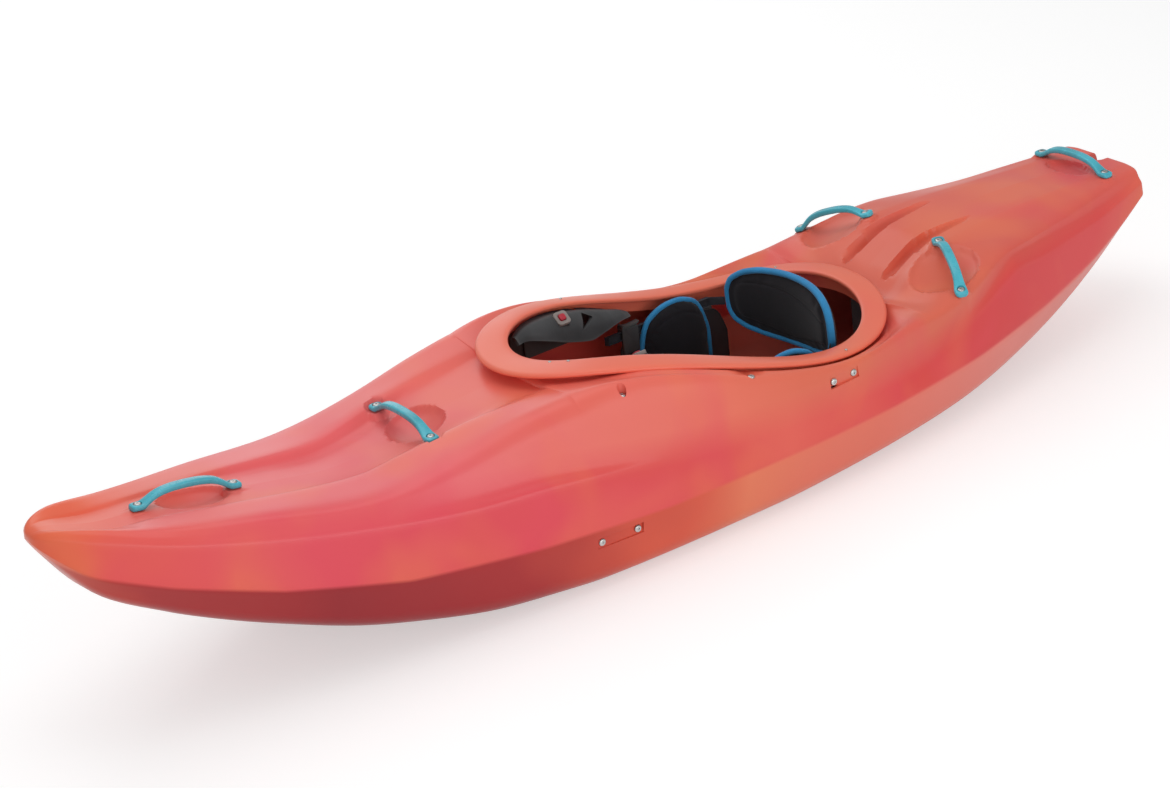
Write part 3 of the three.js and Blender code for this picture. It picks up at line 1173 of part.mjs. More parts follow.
function makeSeatPad() {
  const rings = seatStationShares.slice(1, 7).map(([placeShare, floorShare], k, all) => {
    const y = placeShare * halfLength;
    const base = floorShare * deckHeight + seatWall + clearance;
    const crown = seatPadThickness * (k === 0 || k === all.length - 1 ? 0.55 : 1);
    const half = seatHalfWidth - seatFloorCorner;
    return [[-half, y, base], [half, y, base], [half, y, base + crown * 0.6], [half * 0.8, y, base + crown],
      [0, y, base + crown * 0.8], [-half * 0.8, y, base + crown], [-half, y, base + crown * 0.6]];
  });
  return loft(rings);
}
add('seat_pad', makeSeatPad(), foamFinish);

// Hip pad stations: shares of its length, thickness and height above its foot
const hipPadFoot = 0.2 * deckHeight;
const hipPadTop = 0.64444 * deckHeight;
const hipPadShares = [
  [0, 0.35, 0.5], [0.05, 0.6, 0.72], [0.2, 0.9, 0.92], [0.45, 1, 1], [0.7, 0.95, 0.95], [0.9, 0.65, 0.72],
  [1, 0.35, 0.45],
];
const hipPadStartShare = 0.1145;
const hipPadLength = 0.1372 * halfLength;
function makeHipPad() {
  const wallX = seatHalfWidth - seatWall - clearance;
  const rings = hipPadShares.map(([lengthShare, thickShare, topShare]) => {
    const y = hipPadStartShare * halfLength + lengthShare * hipPadLength;
    const top = hipPadFoot + (hipPadTop - hipPadFoot) * topShare;
    const bottom = hipPadFoot + (hipPadTop - hipPadFoot) * (1 - topShare) * 0.3;
    const face = wallX - hipPadThickness * thickShare;
    const lerp = (t) => bottom + (top - bottom) * t;
    const mid = (t) => wallX + (face - wallX) * t;
    return [[wallX, bottom], [wallX, top], [mid(0.3), top], [mid(0.75), lerp(0.94)], [mid(1), lerp(0.78)],
      [mid(1), lerp(0.25)], [mid(0.75), lerp(0.07)], [mid(0.3), bottom]].map(([x, z]) => [x, y, z]);
  });
  return loft(rings);
}
const hipPad = makeHipPad();

// Backrest: a padded band that wraps forward at its ends
const bandCurve = (t) => bandPlace - bandWrap * t * t;
const bandShares = [
  [0, 1, 1], [0.3, 0.98, 1], [0.6, 0.92, 0.97], [0.82, 0.78, 0.9], [0.95, 0.56, 0.72], [1, 0.34, 0.4],
];
function makeBand() {
  const both = [...bandShares.slice(1).reverse().map(([t, ...rest]) => [-t, ...rest]), ...bandShares];
  const middle = bandBottom + bandHeight / 2;
  // Shares of the half height and of half the thickness, round the band's section
  const edgeShares = [[1, 0.55], [0.72, 0.9], [0, 1], [-0.72, 0.9], [-1, 0.55]];
  const sectionShares = [...edgeShares, ...edgeShares.map(([up, out]) => [-up, -out])];
  const rings = both.map(([t, heightShare, thickShare]) => {
    const centre = [t * bandHalfWidth, bandCurve(t)];
    const lean = Math.atan2(2 * bandWrap * t, bandHalfWidth);
    const normal = [Math.sin(lean), Math.cos(lean)];
    const half = (bandHeight * heightShare) / 2;
    const thick = (bandThickness * thickShare) / 2;
    return sectionShares.map(([up, out]) => {
      const [x, y] = [0, 1].map((k) => centre[k] + normal[k] * thick * out);
      return [x, y, middle + half * up * (1 - 0.02 * out)];
    });
  });
  return loft(rings);
}
add('backband', makeBand(), fabricFinish);

// Ratchets on the front of the seat's sides pull the backrest's straps
const ratchetY = 0.083 * halfLength;
const ratchetLength = 0.03066 * halfLength;
const strapZ = 0.52 * deckHeight + ratchetCover + strapWidth / 2;
const strapX = seatHalfWidth - seatWall / 2;
function makeStrap() {
  const from = ratchetY - ratchetLength;
  const tipX = bandHalfWidth - bandThickness * 0.1;
  const endY = bandCurve(1) - bandThickness * 0.2 - clearance;
  const line = [[strapX, from], [strapX, endY - 1.5 * strapWidth], [tipX, endY]];
  return prismZ(ribbon(line, strapThickness), strapZ - strapWidth / 2, strapZ + strapWidth / 2);
}
const ratchetTop = strapZ + strapWidth / 2 + ratchetCover;
const pivotY = ratchetY + leverBarrel;
const pivotZ = ratchetTop + leverBarrel + clearance;
function makeRatchet() {
  const half = ratchetWidth / 2;
  const end = ratchetY + ratchetLength;
  const bodyZ = [strapZ - strapWidth / 2 - ratchetCover + clearance, ratchetTop];
  const body = block([strapX - half, strapX + half], [ratchetY, end], bodyZ);
  const footZ = [strapZ - 2.2 * strapWidth, strapZ - strapWidth / 2];
  const foot = block([strapX - half, seatHalfWidth - seatWall - clearance], [ratchetY, end], footZ);
  const roomX = strapThickness / 2 + clearance;
  const roomZ = strapWidth / 2 + clearance;
  const tunnelY = [ratchetY - overrun, end + overrun];
  const tunnel = block([strapX - roomX, strapX + roomX], tunnelY, [strapZ - roomZ, strapZ + roomZ]);
  const earFoot = ratchetTop - earThickness;
  const earProfile = [
    [ratchetY, earFoot], [pivotY + leverBarrel, earFoot], [pivotY + leverBarrel, pivotZ],
    [pivotY + leverBarrel / 2, pivotZ + leverBarrel], [pivotY - leverBarrel / 2, pivotZ + leverBarrel],
    [ratchetY, pivotZ],
  ];
  const ears = [strapX - half, strapX + half - earThickness].map((x) => prismX(earProfile, x, x + earThickness));
  const pinHalf = half - earThickness / 2;
  const pin = rod([strapX, pivotY, pivotZ], [1, 0, 0], pinRadius, -pinHalf, pinHalf, boltSides);
  return union([cut(union([body, foot]), [tunnel]), ...ears, pin]);
}
const ratchet = makeRatchet();

// The lever about its pin: a barrel and an arm that lies along the ratchet
function makeLever() {
  const half = ratchetWidth / 2 - earThickness - clearance;
  const barrel = rod([0, 0, 0], [1, 0, 0], leverBarrel, -half, half, padSides);
  // Shares of the ratchet's length and of the barrel's radius
  const profileShares = [
    [0, -0.92], [0.82, -0.92], [0.98, -0.3], [1.04, 0.7], [0.9, 0.5], [0.35, 0.25], [0, 0.95],
  ];
  const arm = prismX(profileShares.map(([y, z]) => [y * ratchetLength, z * leverBarrel]), -half, half);
  const bore = rod([0, 0, 0], [1, 0, 0], pinRadius + clearance, -ratchetWidth, ratchetWidth, boltSides);
  return barrel.add(arm).subtract(bore);
}
const lever = makeLever();
const strap = makeStrap();
sideNames.forEach(([sideName, side]) => {
  add(`seat_hanger_${sideName}`, sided(hanger, side), plasticFinish);
  hangerBolts.forEach(([y, z], k) => {
    const place = [side * (sideBoltSeat(y, z) + clearance), y, z];
    add(`seat_bolt_${sideName}_${k ? 'rear' : 'front'}`, bolt, steelFinish, place, turnTo([side, 0, 0]));
  });
  add(`hip_pad_${sideName}`, sided(hipPad, side), fabricFinish);
  add(`backband_strap_${sideName}`, sided(strap, side), webbingFinish);
  add(`ratchet_${sideName}`, sided(ratchet, side), plasticFinish);
  add(`ratchet_lever_${sideName}`, lever, plasticFinish, [side * strapX, pivotY, pivotZ]);
});

export default model;
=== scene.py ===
import math

import bmesh
import bpy
from mathutils import Matrix, Vector


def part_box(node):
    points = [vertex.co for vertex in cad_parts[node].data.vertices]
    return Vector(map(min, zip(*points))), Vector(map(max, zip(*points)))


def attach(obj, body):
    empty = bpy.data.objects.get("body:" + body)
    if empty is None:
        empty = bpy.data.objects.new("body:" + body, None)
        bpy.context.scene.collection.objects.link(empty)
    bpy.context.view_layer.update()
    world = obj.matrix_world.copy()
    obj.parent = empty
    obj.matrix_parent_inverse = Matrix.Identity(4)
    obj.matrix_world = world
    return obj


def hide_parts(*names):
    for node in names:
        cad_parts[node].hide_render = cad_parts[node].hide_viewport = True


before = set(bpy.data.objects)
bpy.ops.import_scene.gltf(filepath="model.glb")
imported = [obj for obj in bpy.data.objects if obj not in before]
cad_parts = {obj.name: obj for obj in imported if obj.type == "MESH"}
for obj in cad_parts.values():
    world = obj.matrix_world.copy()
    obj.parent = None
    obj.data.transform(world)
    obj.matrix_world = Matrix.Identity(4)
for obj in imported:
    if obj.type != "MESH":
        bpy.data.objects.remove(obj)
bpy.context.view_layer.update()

MM = 0.001

# The shell's own lines, in shares of half the length, half the beam and the deck height
HALF_LENGTH, HALF_BEAM, DECK = 1370.0, 332.0, 450.0
KEEL = [
    (-1, 0, 0.87), (-0.95, 0, 0.685), (-0.855, 0, 0.475), (-0.775, 0, 0.355), (-0.695, 0, 0.26),
    (-0.6, 0, 0.16), (-0.51, 0, 0.095), (-0.41, 0, 0.035), (-0.305, 0, 0.005), (-0.22, 0, 0),
    (0.09, 0, 0), (0.22, 0, 0.01), (0.365, 0, 0.025), (0.51, 0, 0.06), (0.655, 0, 0.125),
    (0.765, 0, 0.21), (0.875, 0, 0.335), (0.955, 0, 0.47), (1, 0, 0.56),
]
CHINE = [
    (-1, 0.14, 0.885), (-0.95, 0.215, 0.705), (-0.855, 0.35, 0.515), (-0.775, 0.45, 0.395),
    (-0.695, 0.55, 0.295), (-0.6, 0.64, 0.185), (-0.51, 0.715, 0.11), (-0.41, 0.79, 0.045),
    (-0.305, 0.845, 0.015), (-0.22, 0.88, 0), (-0.075, 0.91, 0), (0.09, 0.915, 0),
    (0.22, 0.905, 0.015), (0.365, 0.86, 0.035), (0.51, 0.775, 0.065), (0.655, 0.65, 0.14),
    (0.765, 0.535, 0.22), (0.875, 0.43, 0.35), (0.955, 0.36, 0.48), (1, 0.33, 0.57),
]
SEAM = [
    (-1, 0.205, 0.895), (-0.95, 0.295, 0.795), (-0.855, 0.445, 0.67), (-0.71, 0.615, 0.52),
    (-0.535, 0.775, 0.395), (-0.33, 0.905, 0.335), (-0.125, 0.975, 0.305), (0.095, 1, 0.305),
    (0.315, 0.965, 0.305), (0.52, 0.865, 0.325), (0.695, 0.715, 0.37), (0.84, 0.565, 0.44),
    (0.935, 0.46, 0.525), (1, 0.4, 0.615),
]
EDGE = [
    (-1, 0.18, 0.985), (-0.95, 0.26, 0.945), (-0.855, 0.41, 0.855), (-0.71, 0.57, 0.74),
    (-0.535, 0.725, 0.645), (-0.41, 0.8, 0.6), (-0.305, 0.855, 0.585), (-0.195, 0.905, 0.55),
    (-0.075, 0.945, 0.5), (0.095, 0.975, 0.46), (0.315, 0.92, 0.42), (0.41, 0.88, 0.425),
    (0.465, 0.855, 0.475), (0.535, 0.815, 0.54), (0.595, 0.765, 0.605), (0.635, 0.73, 0.64),
    (0.7, 0.67, 0.62), (0.84, 0.53, 0.615), (0.935, 0.445, 0.64), (1, 0.39, 0.67),
]
LEDGE = [
    (-1, 0.155, 1), (-0.95, 0.23, 0.975), (-0.855, 0.38, 0.885), (-0.71, 0.54, 0.775),
    (-0.535, 0.685, 0.685), (-0.41, 0.745, 0.635), (-0.305, 0.795, 0.615), (-0.195, 0.875, 0.58),
    (-0.075, 0.93, 0.56), (0.095, 0.945, 0.58), (0.315, 0.905, 0.5), (0.41, 0.86, 0.51),
    (0.465, 0.845, 0.535), (0.535, 0.795, 0.58), (0.595, 0.725, 0.645), (0.635, 0.67, 0.68),
    (0.7, 0.6, 0.67), (0.84, 0.48, 0.645), (0.935, 0.405, 0.66), (1, 0.365, 0.695),
]
SHOULDER = [
    (-1, 0.12, 1.015), (-0.95, 0.195, 0.99), (-0.855, 0.325, 0.915), (-0.71, 0.48, 0.84),
    (-0.535, 0.61, 0.765), (-0.41, 0.65, 0.8), (-0.29, 0.685, 0.87), (-0.175, 0.74, 0.9),
    (-0.095, 0.795, 0.875), (0, 0.855, 0.795), (0.075, 0.885, 0.71), (0.145, 0.905, 0.65),
    (0.25, 0.91, 0.6), (0.37, 0.86, 0.635), (0.49, 0.83, 0.66), (0.615, 0.675, 0.73),
    (0.68, 0.615, 0.72), (0.765, 0.525, 0.715), (0.86, 0.44, 0.725), (1, 0.335, 0.73),
]
RISE = [
    (-1, 0.07, 1.02), (-0.91, 0.155, 0.93), (-0.82, 0.185, 0.895), (-0.715, 0.24, 0.85),
    (-0.62, 0.27, 0.805), (-0.525, 0.29, 0.775), (-0.46, 0.315, 0.805), (-0.41, 0.345, 0.83),
    (-0.36, 0.365, 0.845), (-0.275, 0.405, 0.86), (-0.225, 0.42, 0.865), (0.425, 0.45, 0.61),
    (0.48, 0.42, 0.705), (0.555, 0.375, 0.77), (0.655, 0.33, 0.775), (0.765, 0.285, 0.765),
    (0.875, 0.255, 0.75), (1, 0.24, 0.74),
]
TROUGH = [
    (-1, 0.055, 1.02), (-0.91, 0.135, 0.915), (-0.82, 0.155, 0.88), (-0.715, 0.205, 0.825),
    (-0.62, 0.225, 0.77), (-0.525, 0.24, 0.725), (-0.46, 0.26, 0.74), (-0.41, 0.275, 0.765),
    (-0.36, 0.295, 0.8), (-0.275, 0.315, 0.83), (-0.225, 0.33, 0.84), (0.425, 0.3, 0.58),
    (0.48, 0.3, 0.68), (0.555, 0.27, 0.765), (0.655, 0.24, 0.78), (0.765, 0.21, 0.77),
    (0.875, 0.18, 0.75), (1, 0.15, 0.74),
]
CROWN = [
    (-1, 0, 1.02), (-0.91, 0, 0.92), (-0.82, 0, 0.885), (-0.715, 0, 0.835), (-0.62, 0, 0.775),
    (-0.525, 0, 0.73), (-0.46, 0, 0.74), (-0.41, 0, 0.77), (-0.36, 0, 0.8), (-0.275, 0, 0.825),
    (-0.225, 0, 0.835), (0.425, 0, 0.58), (0.48, 0, 0.67), (0.555, 0, 0.77), (0.655, 0, 0.78),
    (0.765, 0, 0.775), (0.875, 0, 0.755), (1, 0, 0.74),
]
LINES = [KEEL, CHINE, SEAM, EDGE, LEDGE, SHOULDER, RISE, TROUGH, CROWN]
SOFTNESS = [0, 0.32, 0.1, 0.14, 0.2, 0.38, 0.22, 0.22, 0]
PLAIN_CORNERS = [0, 3, 1, 1, 2, 3, 2, 2, 0]
FINE_CORNERS = [0, 6, 4, 4, 4, 12, 5, 5, 0]
FINE_FLATS = [5, 9, 4, 2, 4, 8, 3, 26]
BOW_TIP, STERN_TIP = 0.955, 0.667
BOW_ROUNDING, STERN_ROUNDING = 105, 16
WALL = 6

# The cockpit: its egg shape, the sweep of its rim, and the neck and lip that carry it
COCKPIT_MIDDLE, COCKPIT_HALF, COCKPIT_HALF_WIDTH = 132.89, 409.0, 214
COCKPIT_TAPER, COCKPIT_SQUARE = 0.229, 0.147
RIM_LEVEL, RIM_SWEEP, RIM_DIP, RIM_TWIST = 0.76, 0.169, 0.033, 0.049
NECK_OUT, NECK_IN, NECK_TOP, NECK_FILLET = 28.0, 22, 12, 7.0
NECK_HEIGHT, NECK_SLOPE = 34, 0.235
LIP_WIDTH = 54


def along(rows, column, share):
    """Smooth line through a feature line's rows, without overshoot."""
    i = 0
    while i < len(rows) - 2 and rows[i + 1][0] < share:
        i += 1

    def slope(k):
        return (rows[k + 1][column] - rows[k][column]) / (rows[k + 1][0] - rows[k][0])

    def tangent(k):
        if k == 0:
            return slope(0)
        if k == len(rows) - 1:
            return slope(k - 1)
        before, after = slope(k - 1), slope(k)
        if before * after <= 0:
            return 0.0
        a, b = rows[k][0] - rows[k - 1][0], rows[k + 1][0] - rows[k][0]
        mean = (before * b + after * a) / (a + b)
        return math.copysign(min(abs(mean), 3 * min(abs(before), abs(after))), mean)

    span = rows[i + 1][0] - rows[i][0]
    t = (share - rows[i][0]) / span
    return (
        (2 * t**3 - 3 * t**2 + 1) * rows[i][column] + (t**3 - 2 * t**2 + t) * span * tangent(i)
        + (3 * t**2 - 2 * t**3) * rows[i + 1][column] + (t**3 - t**2) * span * tangent(i + 1)
    )


def rim_half(c, out):
    """Half the width of the opening at a place from 1, its front, to -1, its back."""
    s = math.sqrt(max(0.0, 1 - c * c))
    egg = 1 - COCKPIT_TAPER * c + COCKPIT_SQUARE * (2 * c * c - 1)
    return COCKPIT_HALF_WIDTH * s * egg / (1 - COCKPIT_SQUARE) + out * s


def rim_height(c):
    a = math.acos(max(-1.0, min(1.0, c)))
    sweep, dip, twist = RIM_SWEEP * math.cos(a), RIM_DIP * math.cos(2 * a), RIM_TWIST * math.cos(3 * a)
    return DECK * (RIM_LEVEL + sweep + dip - twist)


def neck_drop(c):
    return -NECK_HEIGHT * (1 - NECK_SLOPE * c)


def lip_out(c):
    return LIP_WIDTH * (1 + 0.148 * c + 0.185 * c * c)


def rim_share(y, out):
    return (COCKPIT_MIDDLE - y) / (COCKPIT_HALF + out)


def closing(y):
    """How full the section is: 1 along the boat, 0 at the very ends."""
    bow = (-y - (HALF_LENGTH - BOW_ROUNDING)) / BOW_ROUNDING
    if bow > 0:
        return max(0.0, 1 - min(bow, 1.0) ** 2.6) ** (1 / 2.4)
    stern = (y - (HALF_LENGTH - STERN_ROUNDING)) / STERN_ROUNDING
    return max(0.0, 1 - min(stern, 1.0) ** 2.5) ** (1 / 2.5) if stern > 0 else 1.0


def corners(y):
    """Corners of the half section at a place, from the keel to the crown or the rim's neck."""
    share = y / HALF_LENGTH
    left = closing(y)
    tip = (BOW_TIP if y < 0 else STERN_TIP) * DECK
    points = []
    for rows in LINES:
        points.append([
            along(rows, 1, share) * HALF_BEAM * left,
            tip + (along(rows, 2, share) * DECK - tip) * left,
        ])
    c = rim_share(y, NECK_OUT)
    if abs(c) >= 1:
        return points
    neck = [rim_half(c, NECK_OUT), rim_height(c) + neck_drop(c)]
    shoulder = points[5]
    weight = min(1.0, neck[0] / 56)
    for k, (across, up) in enumerate([(0.45, 0.35), (0.2, 0.05)]):
        between = [neck[0] + (shoulder[0] - neck[0]) * across, neck[1] + (shoulder[1] - neck[1]) * up]
        points[6 + k] = [v * (1 - weight) + b * weight for v, b in zip(points[6 + k], between)]
    points[8] = neck
    return points


def half_section(y, steps, flats=(0,) * 8):
    """The half section with rounded corners, and extra points along its flats."""
    points = corners(y)
    outline = [points[0]]

    def reach(target, count):
        start = outline[-1]
        for i in range(1, count + 1):
            t = i / (count + 1)
            outline.append([a + (b - a) * t for a, b in zip(start, target)])

    for k in range(1, 8):
        before, here, after = points[k - 1], points[k], points[k + 1]
        start = [h + (b - h) * SOFTNESS[k] for h, b in zip(here, before)]
        end = [h + (a - h) * SOFTNESS[k] for h, a in zip(here, after)]
        for i in range(steps[k]):
            t = i / (steps[k] - 1) if steps[k] > 1 else 0.5
            point = [
                (1 - t) ** 2 * s + 2 * t * (1 - t) * h + t * t * e for s, h, e in zip(start, here, end)
            ]
            if i == 0:
                reach(point, flats[k - 1])
            outline.append(point)
    reach(points[8], flats[7])
    outline.append(points[8])
    return outline


def crossing(outline, axis, value):
    """Where a section's outline crosses a value of x or of z."""
    found = []
    for p, q in zip(outline, outline[1:]):
        if (p[axis] - value) * (q[axis] - value) <= 0 and p[axis] != q[axis]:
            t = (value - p[axis]) / (q[axis] - p[axis])
            found.append(p[1 - axis] + (q[1 - axis] - p[1 - axis]) * t)
    return found


def deck_top(x, y):
    return max(crossing(half_section(y, PLAIN_CORNERS), 0, abs(x)))


def side_out(y, z):
    return max(crossing(half_section(y, PLAIN_CORNERS), 1, z))


# Where the grab handles stand
def handle_frame(near, far, spacing):
    a, b = [Vector((x, y, deck_top(x, y) + 1)) for x, y in (near, far)]
    lengthwise = (b - a).normalized()
    middle = (a + b) / 2
    up = (Vector((0, 0, 1)) - lengthwise * lengthwise.z).normalized()
    across = up.cross(lengthwise)
    feet = [middle - lengthwise * spacing / 2, middle + lengthwise * spacing / 2]
    matrix = Matrix((lengthwise, across, up)).transposed().to_4x4()
    matrix.translation = middle
    return {"matrix": matrix, "up": up, "feet": feet, "spacing": spacing}


LONG_GRIP, SHORT_GRIP = 202, 168
HALF_GRIP, STERN_REACH = 101, 92.92
REAR_TURN = math.radians(154)
REAR_SPAN = (0.46 * SHORT_GRIP * math.cos(REAR_TURN), 0.46 * SHORT_GRIP * math.sin(REAR_TURN))
REAR_X, REAR_Y = 0.578 * HALF_BEAM, 0.52 * HALF_LENGTH
BOW_Y, FORE_Y, STERN_Y = -0.765 * HALF_LENGTH, -0.41 * HALF_LENGTH, 0.927 * HALF_LENGTH


def rear_handle_frame(side):
    inner = (side * (REAR_X + REAR_SPAN[0]), REAR_Y + REAR_SPAN[1])
    outer = (side * (REAR_X - REAR_SPAN[0]), REAR_Y - REAR_SPAN[1])
    return handle_frame(outer, inner, SHORT_GRIP)


HANDLES = {
    "bow_handle": handle_frame((0, BOW_Y - HALF_GRIP), (0, BOW_Y + HALF_GRIP), LONG_GRIP),
    "foredeck_handle": handle_frame((-HALF_GRIP, FORE_Y), (HALF_GRIP, FORE_Y), LONG_GRIP),
    "stern_handle": handle_frame((-STERN_REACH, STERN_Y), (STERN_REACH, STERN_Y), LONG_GRIP),
    "rear_handle_port": rear_handle_frame(1),
    "rear_handle_starboard": rear_handle_frame(-1),
}
FEET = [(foot, h["up"]) for h in HANDLES.values() for foot in h["feet"]]

# Screws of the brace mounts beside the rim
DECK_SCREWS = [(0.753 * HALF_BEAM, -0.149 * HALF_LENGTH), (0.852 * HALF_BEAM, 0.065 * HALF_LENGTH)]
AROUND = [(-8, 0), (8, 0), (0, 0), (0, -8), (0, 8)]


def deck_seat(x, y):
    """The height that a deck screw's head rests at."""
    return min(deck_top(x + dx, y + dy) for dx, dy in AROUND) - 0.5


# Dishes under the handles: place, half sizes and depth; and the long grooves of the rear deck
DISHES = [
    (0, -0.755 * HALF_LENGTH, 46, 72, 24), (0, -0.391 * HALF_LENGTH, 62, 60, 24),
    (181, 0.516 * HALF_LENGTH, 68, 80, 24), (0, 0.915 * HALF_LENGTH, 60, 34, 15),
]
GROOVE = [
    (0.46, 0.3, 0.1), (0.468, 0.62, 0.42), (0.49, 0.8, 0.78), (0.52, 0.95, 1), (0.55, 1, 0.95),
    (0.585, 0.85, 0.6), (0.62, 0.55, 0.3), (0.648, 0.2, 0.08),
]
GROOVE_X, GROOVE_HALF, GROOVE_DEPTH = 66.4, 19, 30

# The raised deck beside the neck, where it gives way to a screw, and the flats under the handles' feet
SHELF_RISE, SHELF_WIDTH, SHELF_FADE = 11, 30, 24
SCREW_CLEAR, SCREW_FADE = 13, 22
FOOT_NEAR, FOOT_FLAT, FOOT_FADE, FOOT_SINK = 32, 19, 5, 0.4


def smooth(t):
    t = max(0.0, min(1.0, t))
    return t * t * (3 - 2 * t)


def pressed(x, y):
    """How deep the deck is pressed in at a place."""
    depth = 0.0
    for cx, cy, half_x, half_y, most in DISHES:
        r = ((x - cx) / half_x) ** 2 + ((y - cy) / half_y) ** 2
        if r < 1:
            depth = max(depth, most * (1 - r) ** 0.5)
    share = y / HALF_LENGTH
    if GROOVE[0][0] < share < GROOVE[-1][0]:
        half = GROOVE_HALF * along(GROOVE, 1, share)
        across = (x - GROOVE_X) / half
        if abs(across) < 1:
            wall = 0.34 if across < 0 else 0.6
            depth = max(depth, GROOVE_DEPTH * along(GROOVE, 2, share) * (1 - across**2) ** wall)
    return depth


def deck_form(x, y, z):
    """The height of the finished deck over a plain deck point."""
    c = rim_share(y, NECK_OUT)
    if abs(c) < 1:
        gap = x - rim_half(c, NECK_OUT)
        beside = smooth((0.92 - abs(c + 0.05)) / 0.3)
        for screw_x, screw_y in DECK_SCREWS:
            beside *= smooth((math.hypot(x - screw_x, y - screw_y) - SCREW_CLEAR) / SCREW_FADE)
        z += NECK_FILLET * (1 - min(gap / 16, 1)) ** 2 * (1 - beside)
        shelf = NECK_FILLET + (SHELF_RISE - NECK_FILLET) * smooth(gap / 8)
        z += beside * shelf * (1 - smooth((gap - SHELF_WIDTH) / SHELF_FADE))
    z -= pressed(x, y)
    for foot, up in FEET:
        if abs(y - foot.y) > FOOT_NEAR or abs(x - foot.x) > FOOT_NEAR:
            continue
        away = Vector((x, y, z)) - foot
        r = (away - up * away.dot(up)).length
        seat = foot.z - FOOT_SINK - (up.x * (x - foot.x) + up.y * (y - foot.y)) / up.z
        hold = 1 - smooth((r - FOOT_FLAT) / FOOT_FADE)
        z = z * (1 - hold) + seat * hold
    return z


def skin_top(x, y):
    """The height of the finished deck at a place."""
    x = abs(x)
    return deck_form(x, y, max(crossing(half_section(y, FINE_CORNERS, FINE_FLATS), 0, x)))


# Common moves
MERGE_GAP = 0.00001


def only(*objects):
    bpy.ops.object.select_all(action="DESELECT")
    for o in objects:
        o.select_set(True)
    bpy.context.view_layer.objects.active = objects[0]


def from_points(name, points, faces):
    """A new piece from points in millimetres."""
    mesh = bpy.data.meshes.new(name)
    mesh.from_pydata([tuple(c * MM for c in p) for p in points], [], faces)
    mesh.validate()
    piece = bpy.data.objects.new(name, mesh)
    bpy.context.collection.objects.link(piece)
    return piece


def apply_modifier(piece, kind, **settings):
    only(piece)
    bpy.ops.object.modifier_add(type=kind)
    modifier = piece.modifiers[-1]
    for key, value in settings.items():
        setattr(modifier, key, value)
    bpy.ops.object.modifier_apply(modifier=modifier.name)


def tidy_mesh(piece):
    """Merges doubled points and turns the faces outward."""
    only(piece)
    bpy.ops.object.mode_set(mode="EDIT")
    bpy.ops.mesh.select_all(action="SELECT")
    bpy.ops.mesh.remove_doubles(threshold=MERGE_GAP)
    bpy.ops.mesh.normals_make_consistent(inside=False)
    bpy.ops.object.mode_set(mode="OBJECT")


def broken_edges(piece, width, segments=2, angle=50):
    """Rounds the edges that are sharper than an angle."""
    apply_modifier(
        piece, "BEVEL", width=width, segments=segments, limit_method="ANGLE", angle_limit=math.radians(angle))


def smooth_shade(piece, angle=35):
    only(piece)
    bpy.ops.object.shade_smooth_by_angle(angle=math.radians(angle))


def finished(piece, body, slot, material, *nodes):
    """Gives a piece its material and its body, and hides the CAD nodes that it stands for."""
    piece.data.materials.clear()
    piece.data.materials.append(material)
    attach(piece, body)
    if nodes:
        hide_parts(*nodes)
    return piece


# Materials
def tint(red, green, blue):
    def linear(v):
        v /= 255
        return v / 12.92 if v <= 0.04045 else ((v + 0.055) / 1.055) ** 2.4
    return (linear(red), linear(green), linear(blue), 1.0)


class Paint:
    """A material that is put together node by node."""

    def __init__(self, name, roughness=0.5, metallic=0.0, specular=0.5):
        self.material = bpy.data.materials.new(name)
        self.material.use_nodes = True
        self.tree = self.material.node_tree
        self.shader = self.tree.nodes["Principled BSDF"]
        self.shader.inputs["Roughness"].default_value = roughness
        self.shader.inputs["Metallic"].default_value = metallic
        self.shader.inputs["Specular IOR Level"].default_value = specular
        self.place = self.node("ShaderNodeTexCoord").outputs["Object"]

    def node(self, kind, links=(), **settings):
        made = self.tree.nodes.new(kind)
        for key, value in settings.items():
            setattr(made, key, value)
        for key, value in links:
            if isinstance(value, bpy.types.NodeSocket):
                self.tree.links.new(value, made.inputs[key])
            else:
                made.inputs[key].default_value = value
        return made

    def noise(self, scale, detail=3.0, rough=0.5, source=None, distortion=0.0):
        return self.node("ShaderNodeTexNoise", [
            ("Vector", source or self.place), ("Scale", scale), ("Detail", detail),
            ("Roughness", rough), ("Distortion", distortion),
        ]).outputs["Fac"]

    def ramp(self, factor, stops):
        made = self.node("ShaderNodeValToRGB", [("Fac", factor)])
        stop = made.color_ramp.elements
        while len(stop) < len(stops):
            stop.new(0.5)
        for element, (place, colour) in zip(stop, stops):
            element.position = place
            element.color = colour if len(colour) == 4 else (*colour, 1)
        return made.outputs["Color"]

    def mix(self, factor, a, b):
        made = self.node("ShaderNodeMix", data_type="RGBA")
        for socket, value in zip((made.inputs[0], made.inputs[6], made.inputs[7]), (factor, a, b)):
            if isinstance(value, bpy.types.NodeSocket):
                self.tree.links.new(value, socket)
            else:
                socket.default_value = value
        return made.outputs[2]

    def maths(self, operation, a, b):
        return self.node("ShaderNodeMath", [(0, a), (1, b)], operation=operation).outputs[0]

    def between(self, value, low, high, to_low=0.0, to_high=1.0):
        return self.node("ShaderNodeMapRange", [
            ("Value", value), ("From Min", low), ("From Max", high),
            ("To Min", to_low), ("To Max", to_high),
        ]).outputs[0]

    def colour(self, value):
        self.tree.links.new(value, self.shader.inputs["Base Color"])

    def rough(self, value):
        self.tree.links.new(value, self.shader.inputs["Roughness"])

    def bump(self, height, strength, distance, after=None):
        links = [("Height", height), ("Strength", strength), ("Distance", distance)]
        if after is not None:
            links.append(("Normal", after))
        made = self.node("ShaderNodeBump", links)
        self.tree.links.new(made.outputs["Normal"], self.shader.inputs["Normal"])
        return made.outputs["Normal"]


